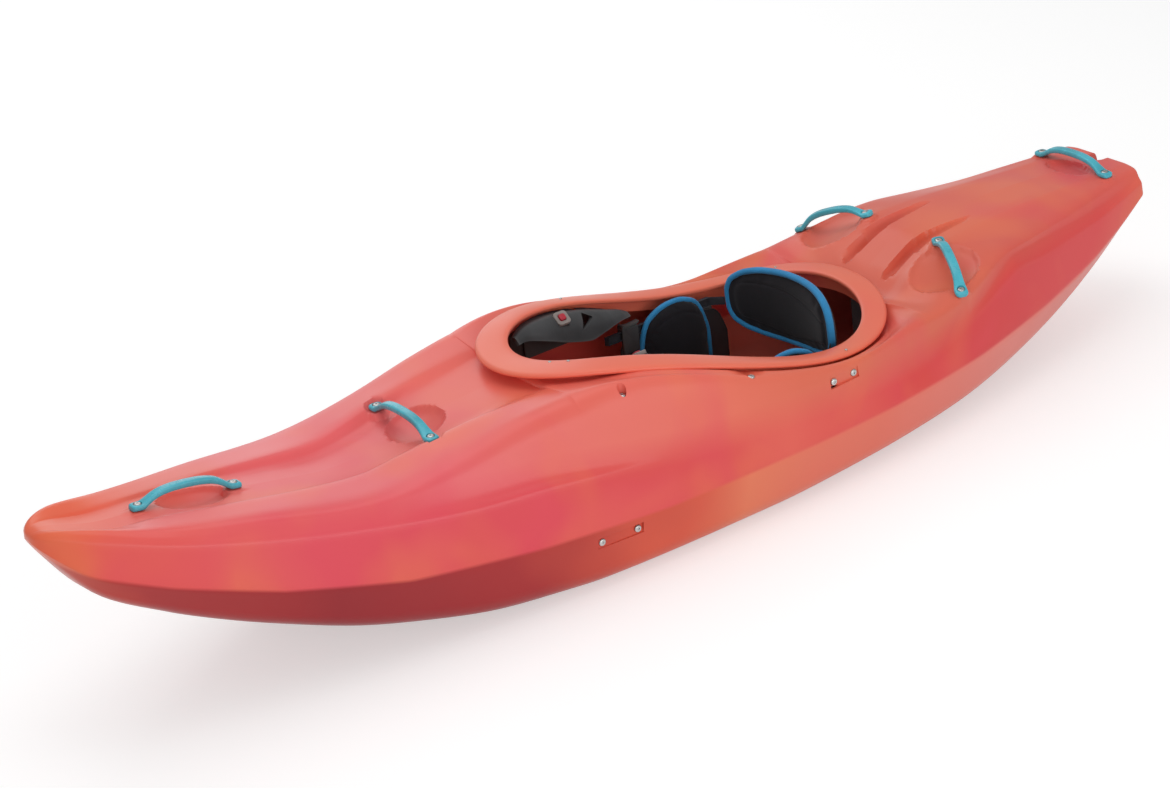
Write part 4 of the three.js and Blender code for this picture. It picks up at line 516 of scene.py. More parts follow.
def shell_plastic(name, rim=0.0):
    """Blended orange, coral and red polyethylene, with bands on deck, side and underside; the underside's
    darker red toward the bow is partly the plastic's own colour and partly painted shade.
    """
    p = Paint(name, 0.3, specular=0.36)
    centre, swirl = (0.5, 0.5, 0.5), 0.55
    warp = p.node("ShaderNodeTexNoise", [("Vector", p.place), ("Scale", 2.3), ("Detail", 2.0)])
    shift = p.node("ShaderNodeVectorMath", [(0, warp.outputs["Color"]), (1, centre)], operation="SUBTRACT")
    grown = p.node("ShaderNodeVectorMath", [(0, shift.outputs[0]), ("Scale", swirl)], operation="SCALE")
    moved = p.node("ShaderNodeVectorMath", [(0, p.place), (1, grown.outputs[0])], operation="ADD")
    parts = p.node("ShaderNodeSeparateXYZ", [(0, moved.outputs[0])])
    plain = p.node("ShaderNodeSeparateXYZ", [(0, p.place)])
    half = HALF_LENGTH * MM
    lengthwise = p.between(parts.outputs["Y"], -half, half)
    true_place = p.between(plain.outputs["Y"], -half, half)

    def line_height(rows):
        return p.ramp(true_place, [((share + 1) / 2, (up, up, up)) for share, _, up in rows])

    def over(rows, low, high):
        height = p.maths("DIVIDE", plain.outputs["Z"], DECK * MM)
        return p.between(p.maths("SUBTRACT", height, line_height(rows)), low, high)

    deck = p.ramp(lengthwise, [
        (0.0, tint(238, 104, 56)), (0.05, tint(238, 104, 72)), (0.13, tint(236, 98, 98)),
        (0.27, tint(238, 100, 104)), (0.37, tint(236, 98, 88)), (0.5, tint(238, 110, 84)),
        (0.64, tint(226, 104, 74)), (0.78, tint(224, 98, 74)), (0.9, tint(228, 92, 76)),
        (1.0, tint(232, 96, 78)),
    ])
    side = p.ramp(lengthwise, [
        (0.0, tint(240, 100, 54)), (0.05, tint(236, 84, 66)), (0.14, tint(234, 72, 84)),
        (0.3, tint(228, 62, 74)), (0.44, tint(228, 68, 66)), (0.56, tint(236, 92, 76)),
        (0.66, tint(226, 58, 58)), (0.82, tint(222, 50, 54)), (0.93, tint(228, 60, 62)),
        (1.0, tint(234, 92, 76)),
    ])
    # Underside band: the plastic's orange and red, darkest toward the bow, where the dark red is partly
    # painted shade
    under = p.ramp(lengthwise, [
        (0.0, tint(216, 70, 42)), (0.06, tint(180, 34, 34)), (0.18, tint(158, 20, 30)),
        (0.32, tint(176, 32, 34)), (0.42, tint(226, 84, 54)), (0.5, tint(240, 124, 84)),
        (0.62, tint(238, 112, 88)), (0.8, tint(238, 124, 110)), (1.0, tint(232, 100, 86)),
    ])
    blended = p.mix(over(EDGE, -0.03, 0.12), side, deck)
    warm = p.between(p.noise(3.6, 2.0, 0.45, distortion=0.4), 0.52, 0.68)
    blended = p.mix(p.maths("MULTIPLY", warm, 0.4), blended, tint(244, 124, 72))
    rosy = p.between(p.noise(3.0, 2.0, 0.45, source=moved.outputs[0]), 0.54, 0.7)
    blended = p.mix(p.maths("MULTIPLY", rosy, 0.5), blended, tint(232, 62, 84))
    blended = p.mix(over(SEAM, -0.012, 0.006), under, blended)
    if rim:
        blended = p.mix(rim, blended, tint(242, 116, 86))
    p.colour(p.node("ShaderNodeHueSaturation", [("Color", blended), ("Saturation", 0.97)]).outputs[0])
    p.rough(p.between(p.noise(9.0, 1.0, 0.5), 0.2, 0.8, 0.28, 0.36))
    skin = p.bump(p.noise(420.0, 2.0, 0.5), 0.1, 0.0004)
    p.bump(p.noise(24.0, 2.0, 0.5), 0.05, 0.003, after=skin)
    return p.material


SHELL = shell_plastic("shell_plastic")
RIM = shell_plastic("rim_plastic", 0.7)


# The shell: outer skin, neck and inner skin as one closed wall
def even(first, last, step):
    count = max(1, round((last - first) / step))
    return [first + (last - first) * k / count for k in range(count)]


NECK_STEPS = 64
STATIONS = [-HALF_LENGTH + BOW_ROUNDING * (1 - math.cos(math.pi / 2 * k / 14)) for k in range(14)]
STATIONS += even(-HALF_LENGTH + BOW_ROUNDING, -1115, 9) + even(-1115, -955, 5) + even(-955, -605, 10)
STATIONS += even(-605, -470, 5) + even(-470, COCKPIT_MIDDLE - COCKPIT_HALF - NECK_OUT, 9)
FIRST_NECK = len(STATIONS)
STATIONS += [
    COCKPIT_MIDDLE - (COCKPIT_HALF + NECK_OUT) * math.cos(math.pi * k / NECK_STEPS) for k in range(NECK_STEPS)
]
STATIONS += even(COCKPIT_MIDDLE + COCKPIT_HALF + NECK_OUT, 610, 6) + even(610, 895, 5)
STATIONS += even(895, 1215, 10) + even(1215, 1300, 5) + even(1300, HALF_LENGTH - STERN_ROUNDING, 6)
STATIONS += [
    HALF_LENGTH - STERN_ROUNDING + STERN_ROUNDING * math.sin(math.pi / 2 * k / 8) for k in range(9)
]
LEDGE_POINT = 1 + sum(FINE_CORNERS[:4]) + sum(FINE_FLATS[:4])


def skin_rows():
    rows = []
    for y in STATIONS:
        row = []
        for j, (x, z) in enumerate(half_section(y, FINE_CORNERS, FINE_FLATS)):
            top = deck_form(x, y, z) if j > LEDGE_POINT and 0 < closing(y) else z
            row.append(Vector((x, y, top)))
        rows.append(row)
    return rows


def neck_ring(out, drop_of):
    """Half a ring round the opening, outside it by a distance and below the rim by a drop."""
    ring = []
    for k in range(NECK_STEPS + 1):
        a = math.pi * k / NECK_STEPS
        c, s = math.cos(a), math.sin(a)
        x = rim_half(c, 0) + out * s if 0 < k < NECK_STEPS else 0
        ring.append(Vector((x, COCKPIT_MIDDLE - (COCKPIT_HALF + out) * c, rim_height(c) + drop_of(c))))
    return ring


def make_shell():
    rows = skin_rows()
    last = len(rows[0]) - 1
    points, faces = [], []

    def sheet(grid, flip):
        start = len(points)
        width = len(grid[0])
        points.extend(p for row in grid for p in row)
        for i in range(len(grid) - 1):
            for j in range(width - 1):
                a = start + i * width + j
                quad = (a, a + 1, a + width + 1, a + width)
                faces.append(quad[::-1] if flip else quad)

    def inward(i, j):
        ahead = rows[min(i + 1, len(rows) - 1)][j] - rows[max(i - 1, 0)][j]
        before = rows[i][j - 1] if j else Vector((-rows[i][1].x, rows[i][1].y, rows[i][1].z))
        after = rows[i][j + 1] if j < last else rows[i][j] * 2 - rows[i][j - 1]
        if j == last and rows[i][j].x < 0.01:
            after = Vector((-rows[i][j - 1].x, rows[i][j - 1].y, rows[i][j - 1].z))
        normal = (after - before).cross(ahead)
        return normal.normalized() * WALL if normal.length > 1e-9 else Vector((0, 0, 0))

    sheet(rows, False)
    kept_rows = [
        i for i in range(2, len(rows) - 2)
        if FIRST_NECK <= i <= FIRST_NECK + NECK_STEPS or i % 2 == 0
    ]
    kept = sorted(set(range(0, last + 1, 2)) | {last})
    inner = [[rows[i][j] + inward(i, j) for j in kept] for i in kept_rows]
    for row in inner:
        row[0].x = 0
        if row[-1].x < 0.3:
            row[-1].x = 0
    sheet(inner, True)
    foot_out = [rows[FIRST_NECK + k][last] for k in range(NECK_STEPS + 1)]
    first_inner = kept_rows.index(FIRST_NECK)
    foot_in = [inner[first_inner + k][-1] for k in range(NECK_STEPS + 1)]
    rings = [foot_out]
    for share in (0.35, 0.7, 1.0):
        rings.append(neck_ring(
            NECK_OUT, lambda c: (neck_drop(c) + NECK_FILLET) * (1 - share) - NECK_TOP * share))
    rings.append(neck_ring(NECK_IN, lambda c: -NECK_TOP))
    rings.append(neck_ring(NECK_IN, lambda c: neck_drop(c) - 4))
    rings.append(foot_in)
    sheet(rings, True)
    for row in (inner[0], inner[-1]):
        start = len(points)
        middle = Vector((0, row[0].y, (row[0].z + row[-1].z) / 2))
        points.extend([middle, *row])
        faces.extend((start, start + j + 1, start + j + 2) for j in range(len(row) - 1))
    return from_points("shell", points, faces)


shell = make_shell()
tidy_mesh(shell)
apply_modifier(shell, "MIRROR", merge_threshold=0.00002)
tidy_mesh(shell)
smooth_shade(shell, 40)


# Cockpit rim: a rounded lip round the opening, on the neck
def make_rim():
    """Its section runs over the lip, round its outer edge and back under it to the opening."""
    profile = [
        (0.4, -2.4), (1.6, -0.9), (4.5, 0.2), (10, 0.9), (18, 1.2), (28, 1.2), (36, 0.8),
        (-9, -0.2), (-5, -1.2), (-1.8, -3.4), (0, -6.6), (-0.6, -9.6), (-3, -12), (-7, -13.2), (34, -13.9), (28, -14.2), (23, -12.4),
        (20, -10.6), (10, -10.2), (3, -10), (0.8, -8.8), (0, -6),
    ]
    outer_edge = range(7, 14)
    points, faces = [], []
    count = 2 * NECK_STEPS
    size = len(profile)
    for k in range(count):
        a = 2 * math.pi * k / count
        c, s = math.cos(a), math.sin(a)
        lip = lip_out(c)
        for n, (out, drop) in enumerate(profile):
            reach = lip + out if n in outer_edge else out
            x = rim_half(c, 0) * (1 if s >= 0 else -1) + reach * s
            points.append((x, COCKPIT_MIDDLE - (COCKPIT_HALF + reach) * c, rim_height(c) + drop))
    for k in range(count):
        for n in range(size):
            here, ahead, further = k * size, (k + 1) % count * size, (n + 1) % size
            faces.append((here + n, here + further, ahead + further, ahead + n))
    rim = from_points("cockpit_rim", points, faces)
    tidy_mesh(rim)
    smooth_shade(rim, 60)
    return finished(rim, "hull", "shell", RIM, "hull_shell")


make_rim()


# Notch for the drain plug, pockets for the side screws and seats for the deck screws
PLUG_Y = HALF_LENGTH - 25
NOTCH_HALF = 23
NOTCH_FLOOR = deck_top(0, HALF_LENGTH - STERN_ROUNDING) - 30
RAIL_SCREWS = [(-0.208 * HALF_LENGTH + k * 41.5, 0.253 * DECK) for k in (-1, 1)]
SEAT_SCREWS = [(0.226 * HALF_LENGTH + k * 28, 244.0) for k in (-1, 1)]


def side_seat(y, z):
    """How far out a side screw's head rests."""
    return min(side_out(y + dy, z + dz) for dy, dz in AROUND) - 2.5


def upright(name, outline, low, high):
    """A block on an outline of x and y, between two heights for each point."""
    count = len(outline)
    points = [(x, y, low(y)) for x, y in outline] + [(x, y, high(y)) for x, y in outline]
    faces = [tuple(range(count))[::-1], tuple(range(count, 2 * count))]
    faces += [(i, (i + 1) % count, count + (i + 1) % count, count + i) for i in range(count)]
    return from_points(name, points, faces)


def notch_outline(half, aft):
    """Round ahead of the plug and open to the stern, with a corner where the deck begins to fall."""
    arc = [(half * math.cos(a), PLUG_Y - half * math.sin(a)) for a in [math.pi * k / 24 for k in range(25)]]
    fall = HALF_LENGTH - 12
    return [*arc, (-half, fall), (-half, aft), (half, aft), (half, fall)][::-1]


def joined(pieces, name):
    only(*pieces)
    bpy.ops.object.join()
    bpy.context.object.name = name
    return bpy.context.object


def boolean(piece, cutter, operation="DIFFERENCE"):
    apply_modifier(piece, "BOOLEAN", object=cutter, operation=operation, solver="EXACT")
    bpy.data.objects.remove(cutter)


# Rings of points joined into one closed piece
def through(name, rings, closed_ends=True):
    count = len(rings[0])
    points = [p for ring in rings for p in ring]
    faces = []
    for i in range(len(rings) - 1):
        for j in range(count):
            a, b = i * count + j, i * count + (j + 1) % count
            faces.append((a, b, b + count, a + count))
    if closed_ends:
        faces.append(tuple(range(count))[::-1])
        faces.append(tuple(range(len(points) - count, len(points))))
    piece = from_points(name, points, faces)
    tidy_mesh(piece)
    return piece


def screw_cup(side, x, y):
    """A round boss under the deck that a screw's pocket is cut into."""
    radius = 12
    turns = [math.tau * k / 24 for k in range(24)]
    ring = [(x + radius * math.cos(a), y + radius * math.sin(a)) for a in turns]
    return through("screw_cup", [
        [(side * px, py, deck_seat(x, y) - 5) for px, py in ring],
        [(side * px, py, skin_top(px, py) - 0.8) for px, py in ring],
    ])


def side_pocket(side, screws):
    """The space that a pair of side screws and their pocket take out of the shell."""
    (near_y, z), (far_y, _) = screws
    near, far = side_seat(near_y, z) + 0.5, side_seat(far_y, z) + 0.5
    margin, reach = 12, 30
    outline = [
        (side * near, near_y - margin), (side * (near + reach), near_y - margin),
        (side * (far + reach), far_y + margin), (side * far, far_y + margin),
    ]
    pocket = upright("pocket", outline, lambda y: z - margin, lambda y: z + margin)
    tidy_mesh(pocket)
    return pocket


def cut_shell():
    cups = [upright(
        "notch_cup", notch_outline(NOTCH_HALF + WALL, HALF_LENGTH - 3), lambda y: NOTCH_FLOOR - WALL,
        lambda y: skin_top(NOTCH_HALF + WALL, y) - 1)]
    cups += [screw_cup(side, x, y) for side in (-1, 1) for x, y in DECK_SCREWS]
    boolean(shell, joined(cups, "shell_cups"), "UNION")
    cutters = [upright(
        "notch", notch_outline(NOTCH_HALF, HALF_LENGTH + 12), lambda y: NOTCH_FLOOR, lambda y: DECK)]
    bpy.ops.object.select_all(action="DESELECT")
    for side in (-1, 1):
        cutters += [side_pocket(side, screws) for screws in (RAIL_SCREWS, SEAT_SCREWS)]
        for x, y in DECK_SCREWS:
            bpy.ops.mesh.primitive_cylinder_add(
                vertices=24, radius=0.0092, depth=0.03,
                location=(side * x * MM, y * MM, (deck_seat(x, y) + 15) * MM))
            cutters.append(bpy.context.object)
    boolean(shell, joined(cutters, "shell_cuts"))
    smooth_shade(shell, 40)


cut_shell()
finished(shell, "hull", "shell", SHELL, "hull_shell")


# Finishes of the other pieces
def plain_plastic(name, base, roughness, grain=320.0, depth=0.12, worn_tone_and_edge_highlight=None):
    """Moulded plastic with a fine grain, slight clouding and, where an edge colour is given, a painted
    highlight along its sharp convex edges.
    """
    p = Paint(name, roughness)
    cloud = p.noise(14.0, 3.0, 0.55)
    dark = tuple(c * 0.8 for c in base[:3])
    light = tuple(min(1.0, c * 1.18 + 0.004) for c in base[:3])
    colour = p.ramp(cloud, [(0.3, dark), (0.7, light)])
    # Painted highlight: sharp convex edges are mixed toward a paler colour
    if worn_tone_and_edge_highlight:
        edge = p.node("ShaderNodeNewGeometry").outputs["Pointiness"]
        edge_highlight_mask = p.between(edge, 0.53, 0.6, 0.0, 0.5)
        colour = p.mix(edge_highlight_mask, colour, worn_tone_and_edge_highlight)
    p.colour(colour)
    p.rough(p.between(p.noise(40.0, 3.0, 0.6), 0.3, 0.7, roughness - 0.06, roughness + 0.08))
    p.bump(p.noise(grain, 2.0, 0.5), depth, 0.0003)
    return p.material


def bare_metal(name, base, roughness):
    """Metal with fine brushing and small stains."""
    p = Paint(name, roughness, metallic=1.0)
    stretched = p.node("ShaderNodeMapping", [("Vector", p.place), ("Scale", (12.0, 1.0, 12.0))]).outputs[0]
    brush = p.noise(160.0, 3.0, 0.6, source=stretched)
    stain = p.noise(60.0, 3.0, 0.6)
    p.colour(p.ramp(stain, [(0.3, tuple(c * 0.78 for c in base[:3])), (0.65, base[:3])]))
    p.rough(p.between(brush, 0.3, 0.7, roughness - 0.08, roughness + 0.12))
    p.bump(brush, 0.06, 0.0002)
    return p.material


def closed_foam(name, base):
    """Closed cell foam: small cells and a slightly mottled skin."""
    p = Paint(name, 0.92, specular=0.25)
    cells = p.node("ShaderNodeTexVoronoi", [("Vector", p.place), ("Scale", 520.0)]).outputs["Distance"]
    cloud = p.noise(30.0, 4.0, 0.6)
    dark, light = [tuple(c * share for c in base[:3]) for share in (0.75, 1.15)]
    p.colour(p.ramp(cloud, [(0.3, dark), (0.7, light)]))
    bulk = p.bump(cells, 0.25, 0.0005)
    p.bump(cloud, 0.15, 0.002, after=bulk)
    return p.material


def knitted_cloth(name, base, size=420.0, bright=1.7):
    """Stretch cloth over foam: a fine knit of small loops, with a soft sheen."""
    p = Paint(name, 0.85, specular=0.3)
    p.shader.inputs["Sheen Weight"].default_value = 0.12
    p.shader.inputs["Sheen Roughness"].default_value = 0.5
    slant = (0.0, 0.0, 0.785)
    turned = p.node("ShaderNodeMapping", [("Vector", p.place), ("Rotation", slant)]).outputs[0]
    knit = p.node("ShaderNodeTexVoronoi", [("Vector", turned), ("Scale", size)], distance="CHEBYCHEV")
    loops = knit.outputs["Distance"]
    cloud = p.noise(22.0, 3.0, 0.55)
    thread = p.between(loops, 0.15, 0.55)
    low = p.ramp(cloud, [(0.3, tuple(c * 0.8 for c in base[:3])), (0.7, base[:3])])
    high = p.ramp(cloud, [(0.3, base[:3]), (0.7, tuple(min(1, c * bright) for c in base[:3]))])
    p.colour(p.mix(thread, high, low))
    p.bump(loops, 0.35, 0.0006)
    return p.material


def woven_band(name, base):
    """Narrow woven tape with ribs across its length."""
    p = Paint(name, 0.8, specular=0.3)
    weave = [("Vector", p.place), ("Scale", 210.0), ("Distortion", 0.6), ("Detail", 1.0)]
    ribs = p.node("ShaderNodeTexWave", weave, bands_direction="Y").outputs["Fac"]
    cloud = p.noise(50.0, 3.0, 0.5)
    worn_tone_and_edge_highlight, clean, dark = [tuple(min(1, c * share) for c in base[:3]) for share in (0.85, 1.1, 0.6)]
    shade = p.ramp(cloud, [(0.3, worn_tone_and_edge_highlight), (0.7, clean)])
    p.colour(p.mix(p.maths("MULTIPLY", ribs, 0.3), shade, (*dark, 1.0)))
    p.bump(ribs, 0.3, 0.0006)
    return p.material


GRIP = plain_plastic("turquoise_grip", tint(72, 178, 196), 0.26, 260.0, 0.08)
STEEL = bare_metal("screw_steel", tint(198, 198, 196), 0.28)
PLUG_RED = plain_plastic("plug_red", tint(120, 22, 34), 0.42)
SOCKET_BLACK = plain_plastic("socket_black", tint(34, 34, 36), 0.5)
RAIL_METAL = bare_metal("rail_aluminium", tint(150, 152, 155), 0.4)
# The paler edge colours of the charcoal and grey plastics are painted highlights
CHARCOAL = plain_plastic("charcoal_plastic", tint(54, 54, 56), 0.55, 380.0, 0.3, worn_tone_and_edge_highlight=tint(96, 95, 93))
CATCH_GREY = plain_plastic("catch_grey", tint(132, 122, 118), 0.5, worn_tone_and_edge_highlight=tint(170, 162, 156))
BUTTON_RED = plain_plastic("button_red", tint(168, 26, 46), 0.38)
SEAT_BLACK = plain_plastic("seat_black", tint(38, 38, 40), 0.5, 300.0, 0.3)
PILLAR_FOAM = closed_foam("pillar_foam", tint(98, 100, 104))
DARK_FOAM = closed_foam("dark_foam", tint(36, 36, 38))
CLOTH = knitted_cloth("black_knit", tint(20, 18, 24))
PIPING = knitted_cloth("blue_binding", tint(46, 134, 188), 700.0, 1.25)
WEBBING = woven_band("dark_webbing", tint(52, 52, 58))


# Grab handles: width, lift and thickness of the bar from its middle to its end
GRIP_BAR = [
    (0, 0.8, 1, 1.1), (0.3, 0.8, 0.93, 1.1), (0.58, 0.82, 0.6, 1.08), (0.75, 1, 0.14, 1),
    (0.81, 1.12, 0, 0.95), (0.93, 1.12, 0, 0.92), (0.985, 0.86, 0, 0.8), (1, 0.62, 0, 0.7),
]
GRIP_STEPS = [
    0, 0.08, 0.16, 0.24, 0.32, 0.4, 0.47, 0.54, 0.6, 0.66, 0.71, 0.755, 0.79, 0.82, 0.86, 0.93, 0.97, 0.99, 1,
]
GRIP_WIDE, GRIP_THICK, GRIP_LIFT, GRIP_END = 26, 13, 24, 15


def make_handle(spacing):
    """An arched bar with flat feet: a section is pushed along and resized, then mirrored."""
    end = spacing / 2 + GRIP_END
    bpy.ops.object.select_all(action="DESELECT")
    bpy.ops.mesh.primitive_circle_add(vertices=20, radius=1, fill_type="NGON", rotation=(0, math.pi / 2, 0))
    handle = bpy.context.object
    bpy.ops.object.transform_apply(rotation=True)
    for v in handle.data.vertices:
        v.co.y = math.copysign(abs(v.co.y) ** 0.55, v.co.y) / 2
        v.co.z = math.copysign(abs(v.co.z) ** 0.62, v.co.z) / 2
    bpy.ops.object.mode_set(mode="EDIT")
    bpy.ops.mesh.select_all(action="SELECT")
    width, lift, thick = [along(GRIP_BAR, k, 0) for k in (1, 2, 3)]
    bpy.ops.transform.resize(value=(1, GRIP_WIDE * MM * width, GRIP_THICK * MM * thick))
    bpy.ops.transform.translate(value=(0, 0, (GRIP_LIFT * lift + GRIP_THICK / 2 * thick) * MM))
    for before, share in zip(GRIP_STEPS, GRIP_STEPS[1:]):
        wide, high, stout = [along(GRIP_BAR, k, share) for k in (1, 2, 3)]
        middle = (GRIP_LIFT * lift + GRIP_THICK / 2 * thick) * MM
        rise = (GRIP_LIFT * (high - lift) + GRIP_THICK / 2 * (stout - thick)) * MM
        bpy.ops.mesh.extrude_region_move(
            TRANSFORM_OT_translate={"value": ((share - before) * end * MM, 0, rise)})
        centre = (share * end * MM, 0, middle + rise)
        bpy.ops.transform.resize(value=(1, wide / width, stout / thick), center_override=centre)
        width, lift, thick = wide, high, stout
    bpy.ops.object.mode_set(mode="OBJECT")
    work = bmesh.new()
    work.from_mesh(handle.data)
    inside = [f for f in work.faces if all(abs(v.co.x) < 1e-7 for v in f.verts)]
    bmesh.ops.delete(work, geom=inside, context="FACES")
    work.to_mesh(handle.data)
    work.free()
    apply_modifier(handle, "MIRROR", merge_threshold=0.00002)
    tidy_mesh(handle)
    apply_modifier(handle, "SUBSURF", levels=1, render_levels=1)
    bpy.ops.object.select_all(action="DESELECT")
    cutters = []
    head_seat, bolt_hole = (9.0, 8.2, 30), (4.35, -8, 12)
    for side in (-1, 1):
        for radius, low, high in (head_seat, bolt_hole):
            bpy.ops.mesh.primitive_cylinder_add(
                vertices=32, radius=radius * MM, depth=(high - low) * MM,
                location=(side * spacing / 2 * MM, 0, (low + high) / 2 * MM))
            cutters.append(bpy.context.object)
    for cutter in cutters:
        boolean(handle, cutter)
    broken_edges(handle, 0.0005)
    smooth_shade(handle, 40)
    return handle


def placed_copy(template, name, matrix):
    mesh = template.data.copy()
    mesh.name = name
    mesh.transform(matrix)
    mesh.update()
    piece = bpy.data.objects.new(name, mesh)
    bpy.context.collection.objects.link(piece)
    return piece


def in_metres(matrix):
    made = matrix.copy()
    made.translation = matrix.translation * MM
    return made


def make_screw():
    """A domed head with a six-sided socket on a plain shank."""
    bpy.ops.object.select_all(action="DESELECT")
    bpy.ops.mesh.primitive_cylinder_add(vertices=32, radius=0.008, depth=0.002, location=(0, 0, 0.001))
    screw = bpy.context.object
    bpy.ops.object.transform_apply(location=True)
    bpy.ops.object.mode_set(mode="EDIT")
    bpy.ops.mesh.select_all(action="DESELECT")
    bpy.ops.object.mode_set(mode="OBJECT")
    for face in screw.data.polygons:
        face.select = face.normal.z > 0.9
    bpy.ops.object.mode_set(mode="EDIT")
    for rise, share in ((0.0011, 0.93), (0.0009, 0.83), (0.0005, 0.8)):
        bpy.ops.mesh.extrude_region_move(TRANSFORM_OT_translate={"value": (0, 0, rise)})
        bpy.ops.transform.resize(value=(share, share, 1))
    bpy.ops.mesh.select_all(action="DESELECT")
    bpy.ops.object.mode_set(mode="OBJECT")
    for face in screw.data.polygons:
        face.select = face.normal.z < -0.9
    bpy.ops.object.mode_set(mode="EDIT")
    bpy.ops.mesh.inset(thickness=0.004, depth=0)
    bpy.ops.mesh.extrude_region_move(TRANSFORM_OT_translate={"value": (0, 0, -0.03)})
    bpy.ops.object.mode_set(mode="OBJECT")
    bpy.ops.object.select_all(action="DESELECT")
    bpy.ops.mesh.primitive_cylinder_add(vertices=6, radius=0.0029, depth=0.004, location=(0, 0, 0.0042))
    boolean(screw, bpy.context.object)
    broken_edges(screw, 0.00025)
    smooth_shade(screw, 40)
    return screw


def add_screw(screw, node, seat):
    finished(placed_copy(screw, node + "_screw", seat), "hull", "steel", STEEL, node)


# Small screws of the rim: place from front to back, side, and distance from the opening
RIM_SCREWS = [(0.93, 1, 14), (0.87, 1, 12), (0.34, -1, 36), (-0.88, -1, 26), (-0.5, 1, 40)]
RIM_SCREW_SIZE = 0.42
HEAD_GAP = 0.3


def make_fittings():
    long_handle, short_handle, screw = make_handle(LONG_GRIP), make_handle(SHORT_GRIP), make_screw()
    for name, h in HANDLES.items():
        template = long_handle if h["spacing"] == LONG_GRIP else short_handle
        grip = placed_copy(template, name + "_grip", in_metres(h["matrix"]))
        finished(grip, "hull", "grip", GRIP, name)
        for end, letter in ((-1, "a"), (1, "b")):
            node = name.replace("handle", "handle_bolt") + "_" + letter
            on_foot = Matrix.Translation((end * h["spacing"] / 2 * MM, 0, 8.5 * MM))
            add_screw(screw, node, in_metres(h["matrix"]) @ on_foot)
    for n, (c, side, reach) in enumerate(RIM_SCREWS):
        out = side * (rim_half(c, 0) + reach * math.sqrt(1 - c * c))
        spot = Vector((out, COCKPIT_MIDDLE - (COCKPIT_HALF + reach) * c, rim_height(c) + 0.9)) * MM
        seat = Matrix.Translation(spot) @ Matrix.Scale(RIM_SCREW_SIZE, 4)
        finished(placed_copy(screw, f"rim_screw_{n + 1}", seat), "hull", "steel", STEEL)
    for side, word in ((1, "port"), (-1, "starboard")):
        level = Matrix.Rotation(side * math.pi / 2, 4, "Y")
        for screws, kind in ((RAIL_SCREWS, "rail"), (SEAT_SCREWS, "seat")):
            for (y, z), end in zip(screws, ("front", "rear")):
                spot = (side * (side_seat(y, z) + HEAD_GAP) * MM, y * MM, z * MM)
                add_screw(screw, f"{kind}_bolt_{word}_{end}", Matrix.Translation(spot) @ level)
        for (x, y), end in zip(DECK_SCREWS, ("front", "rear")):
            spot = (side * x * MM, y * MM, (deck_seat(x, y) + HEAD_GAP) * MM)
            add_screw(screw, f"brace_bolt_{word}_{end}", Matrix.Translation(spot))
    for template in (long_handle, short_handle, screw):
        bpy.data.objects.remove(template)


make_fittings()


# Drain plug: a recessed cap with a finger bar across it, and a stem
def make_plug():
    bpy.ops.object.select_all(action="DESELECT")
    base, cap = NOTCH_FLOOR + HEAD_GAP, 6.8
    bpy.ops.mesh.primitive_cylinder_add(
        vertices=48, radius=0.017, depth=0.0068, location=(0, PLUG_Y * MM, (base + cap / 2) * MM))
    plug = bpy.context.object
    bpy.ops.object.transform_apply(location=True)
    top = (base + cap) * MM
    bpy.ops.object.mode_set(mode="EDIT")
    bpy.ops.mesh.select_all(action="DESELECT")
    bpy.ops.object.mode_set(mode="OBJECT")
    for face in plug.data.polygons:
        face.select = face.normal.z > 0.9
    bpy.ops.object.mode_set(mode="EDIT")
    bpy.ops.mesh.select_mode(type="FACE")
    bpy.ops.mesh.extrude_region_move(TRANSFORM_OT_translate={"value": (0, 0, 0.0022)})
    bpy.ops.transform.resize(value=(0.9, 0.9, 1))
    bpy.ops.mesh.inset(thickness=0.0034, depth=0)
    bpy.ops.mesh.extrude_region_move(TRANSFORM_OT_translate={"value": (0, 0, -0.0036)})
    bpy.ops.transform.resize(value=(0.9, 0.9, 1))
    bpy.ops.mesh.select_all(action="DESELECT")
    bpy.ops.object.mode_set(mode="OBJECT")
    for face in plug.data.polygons:
        face.select = face.normal.z < -0.9
    bpy.ops.object.mode_set(mode="EDIT")
    bpy.ops.mesh.inset(thickness=0.0085, depth=0)
    bpy.ops.mesh.extrude_region_move(TRANSFORM_OT_translate={"value": (0, 0, -0.017)})
    bpy.ops.object.mode_set(mode="OBJECT")
    bpy.ops.object.select_all(action="DESELECT")
    bpy.ops.mesh.primitive_cube_add(size=1, location=(0, PLUG_Y * MM, top + 0.0008))
    bar = bpy.context.object
    bar.scale = (0.0225, 0.0056, 0.0062)
    bpy.ops.object.transform_apply(location=True, scale=True)
    boolean(plug, bar, "UNION")
    broken_edges(plug, 0.0006, angle=40)
    smooth_shade(plug, 40)
    plug.name = "plug_cap"
    finished(plug, "drain_plug", "plug", PLUG_RED, "drain_plug")


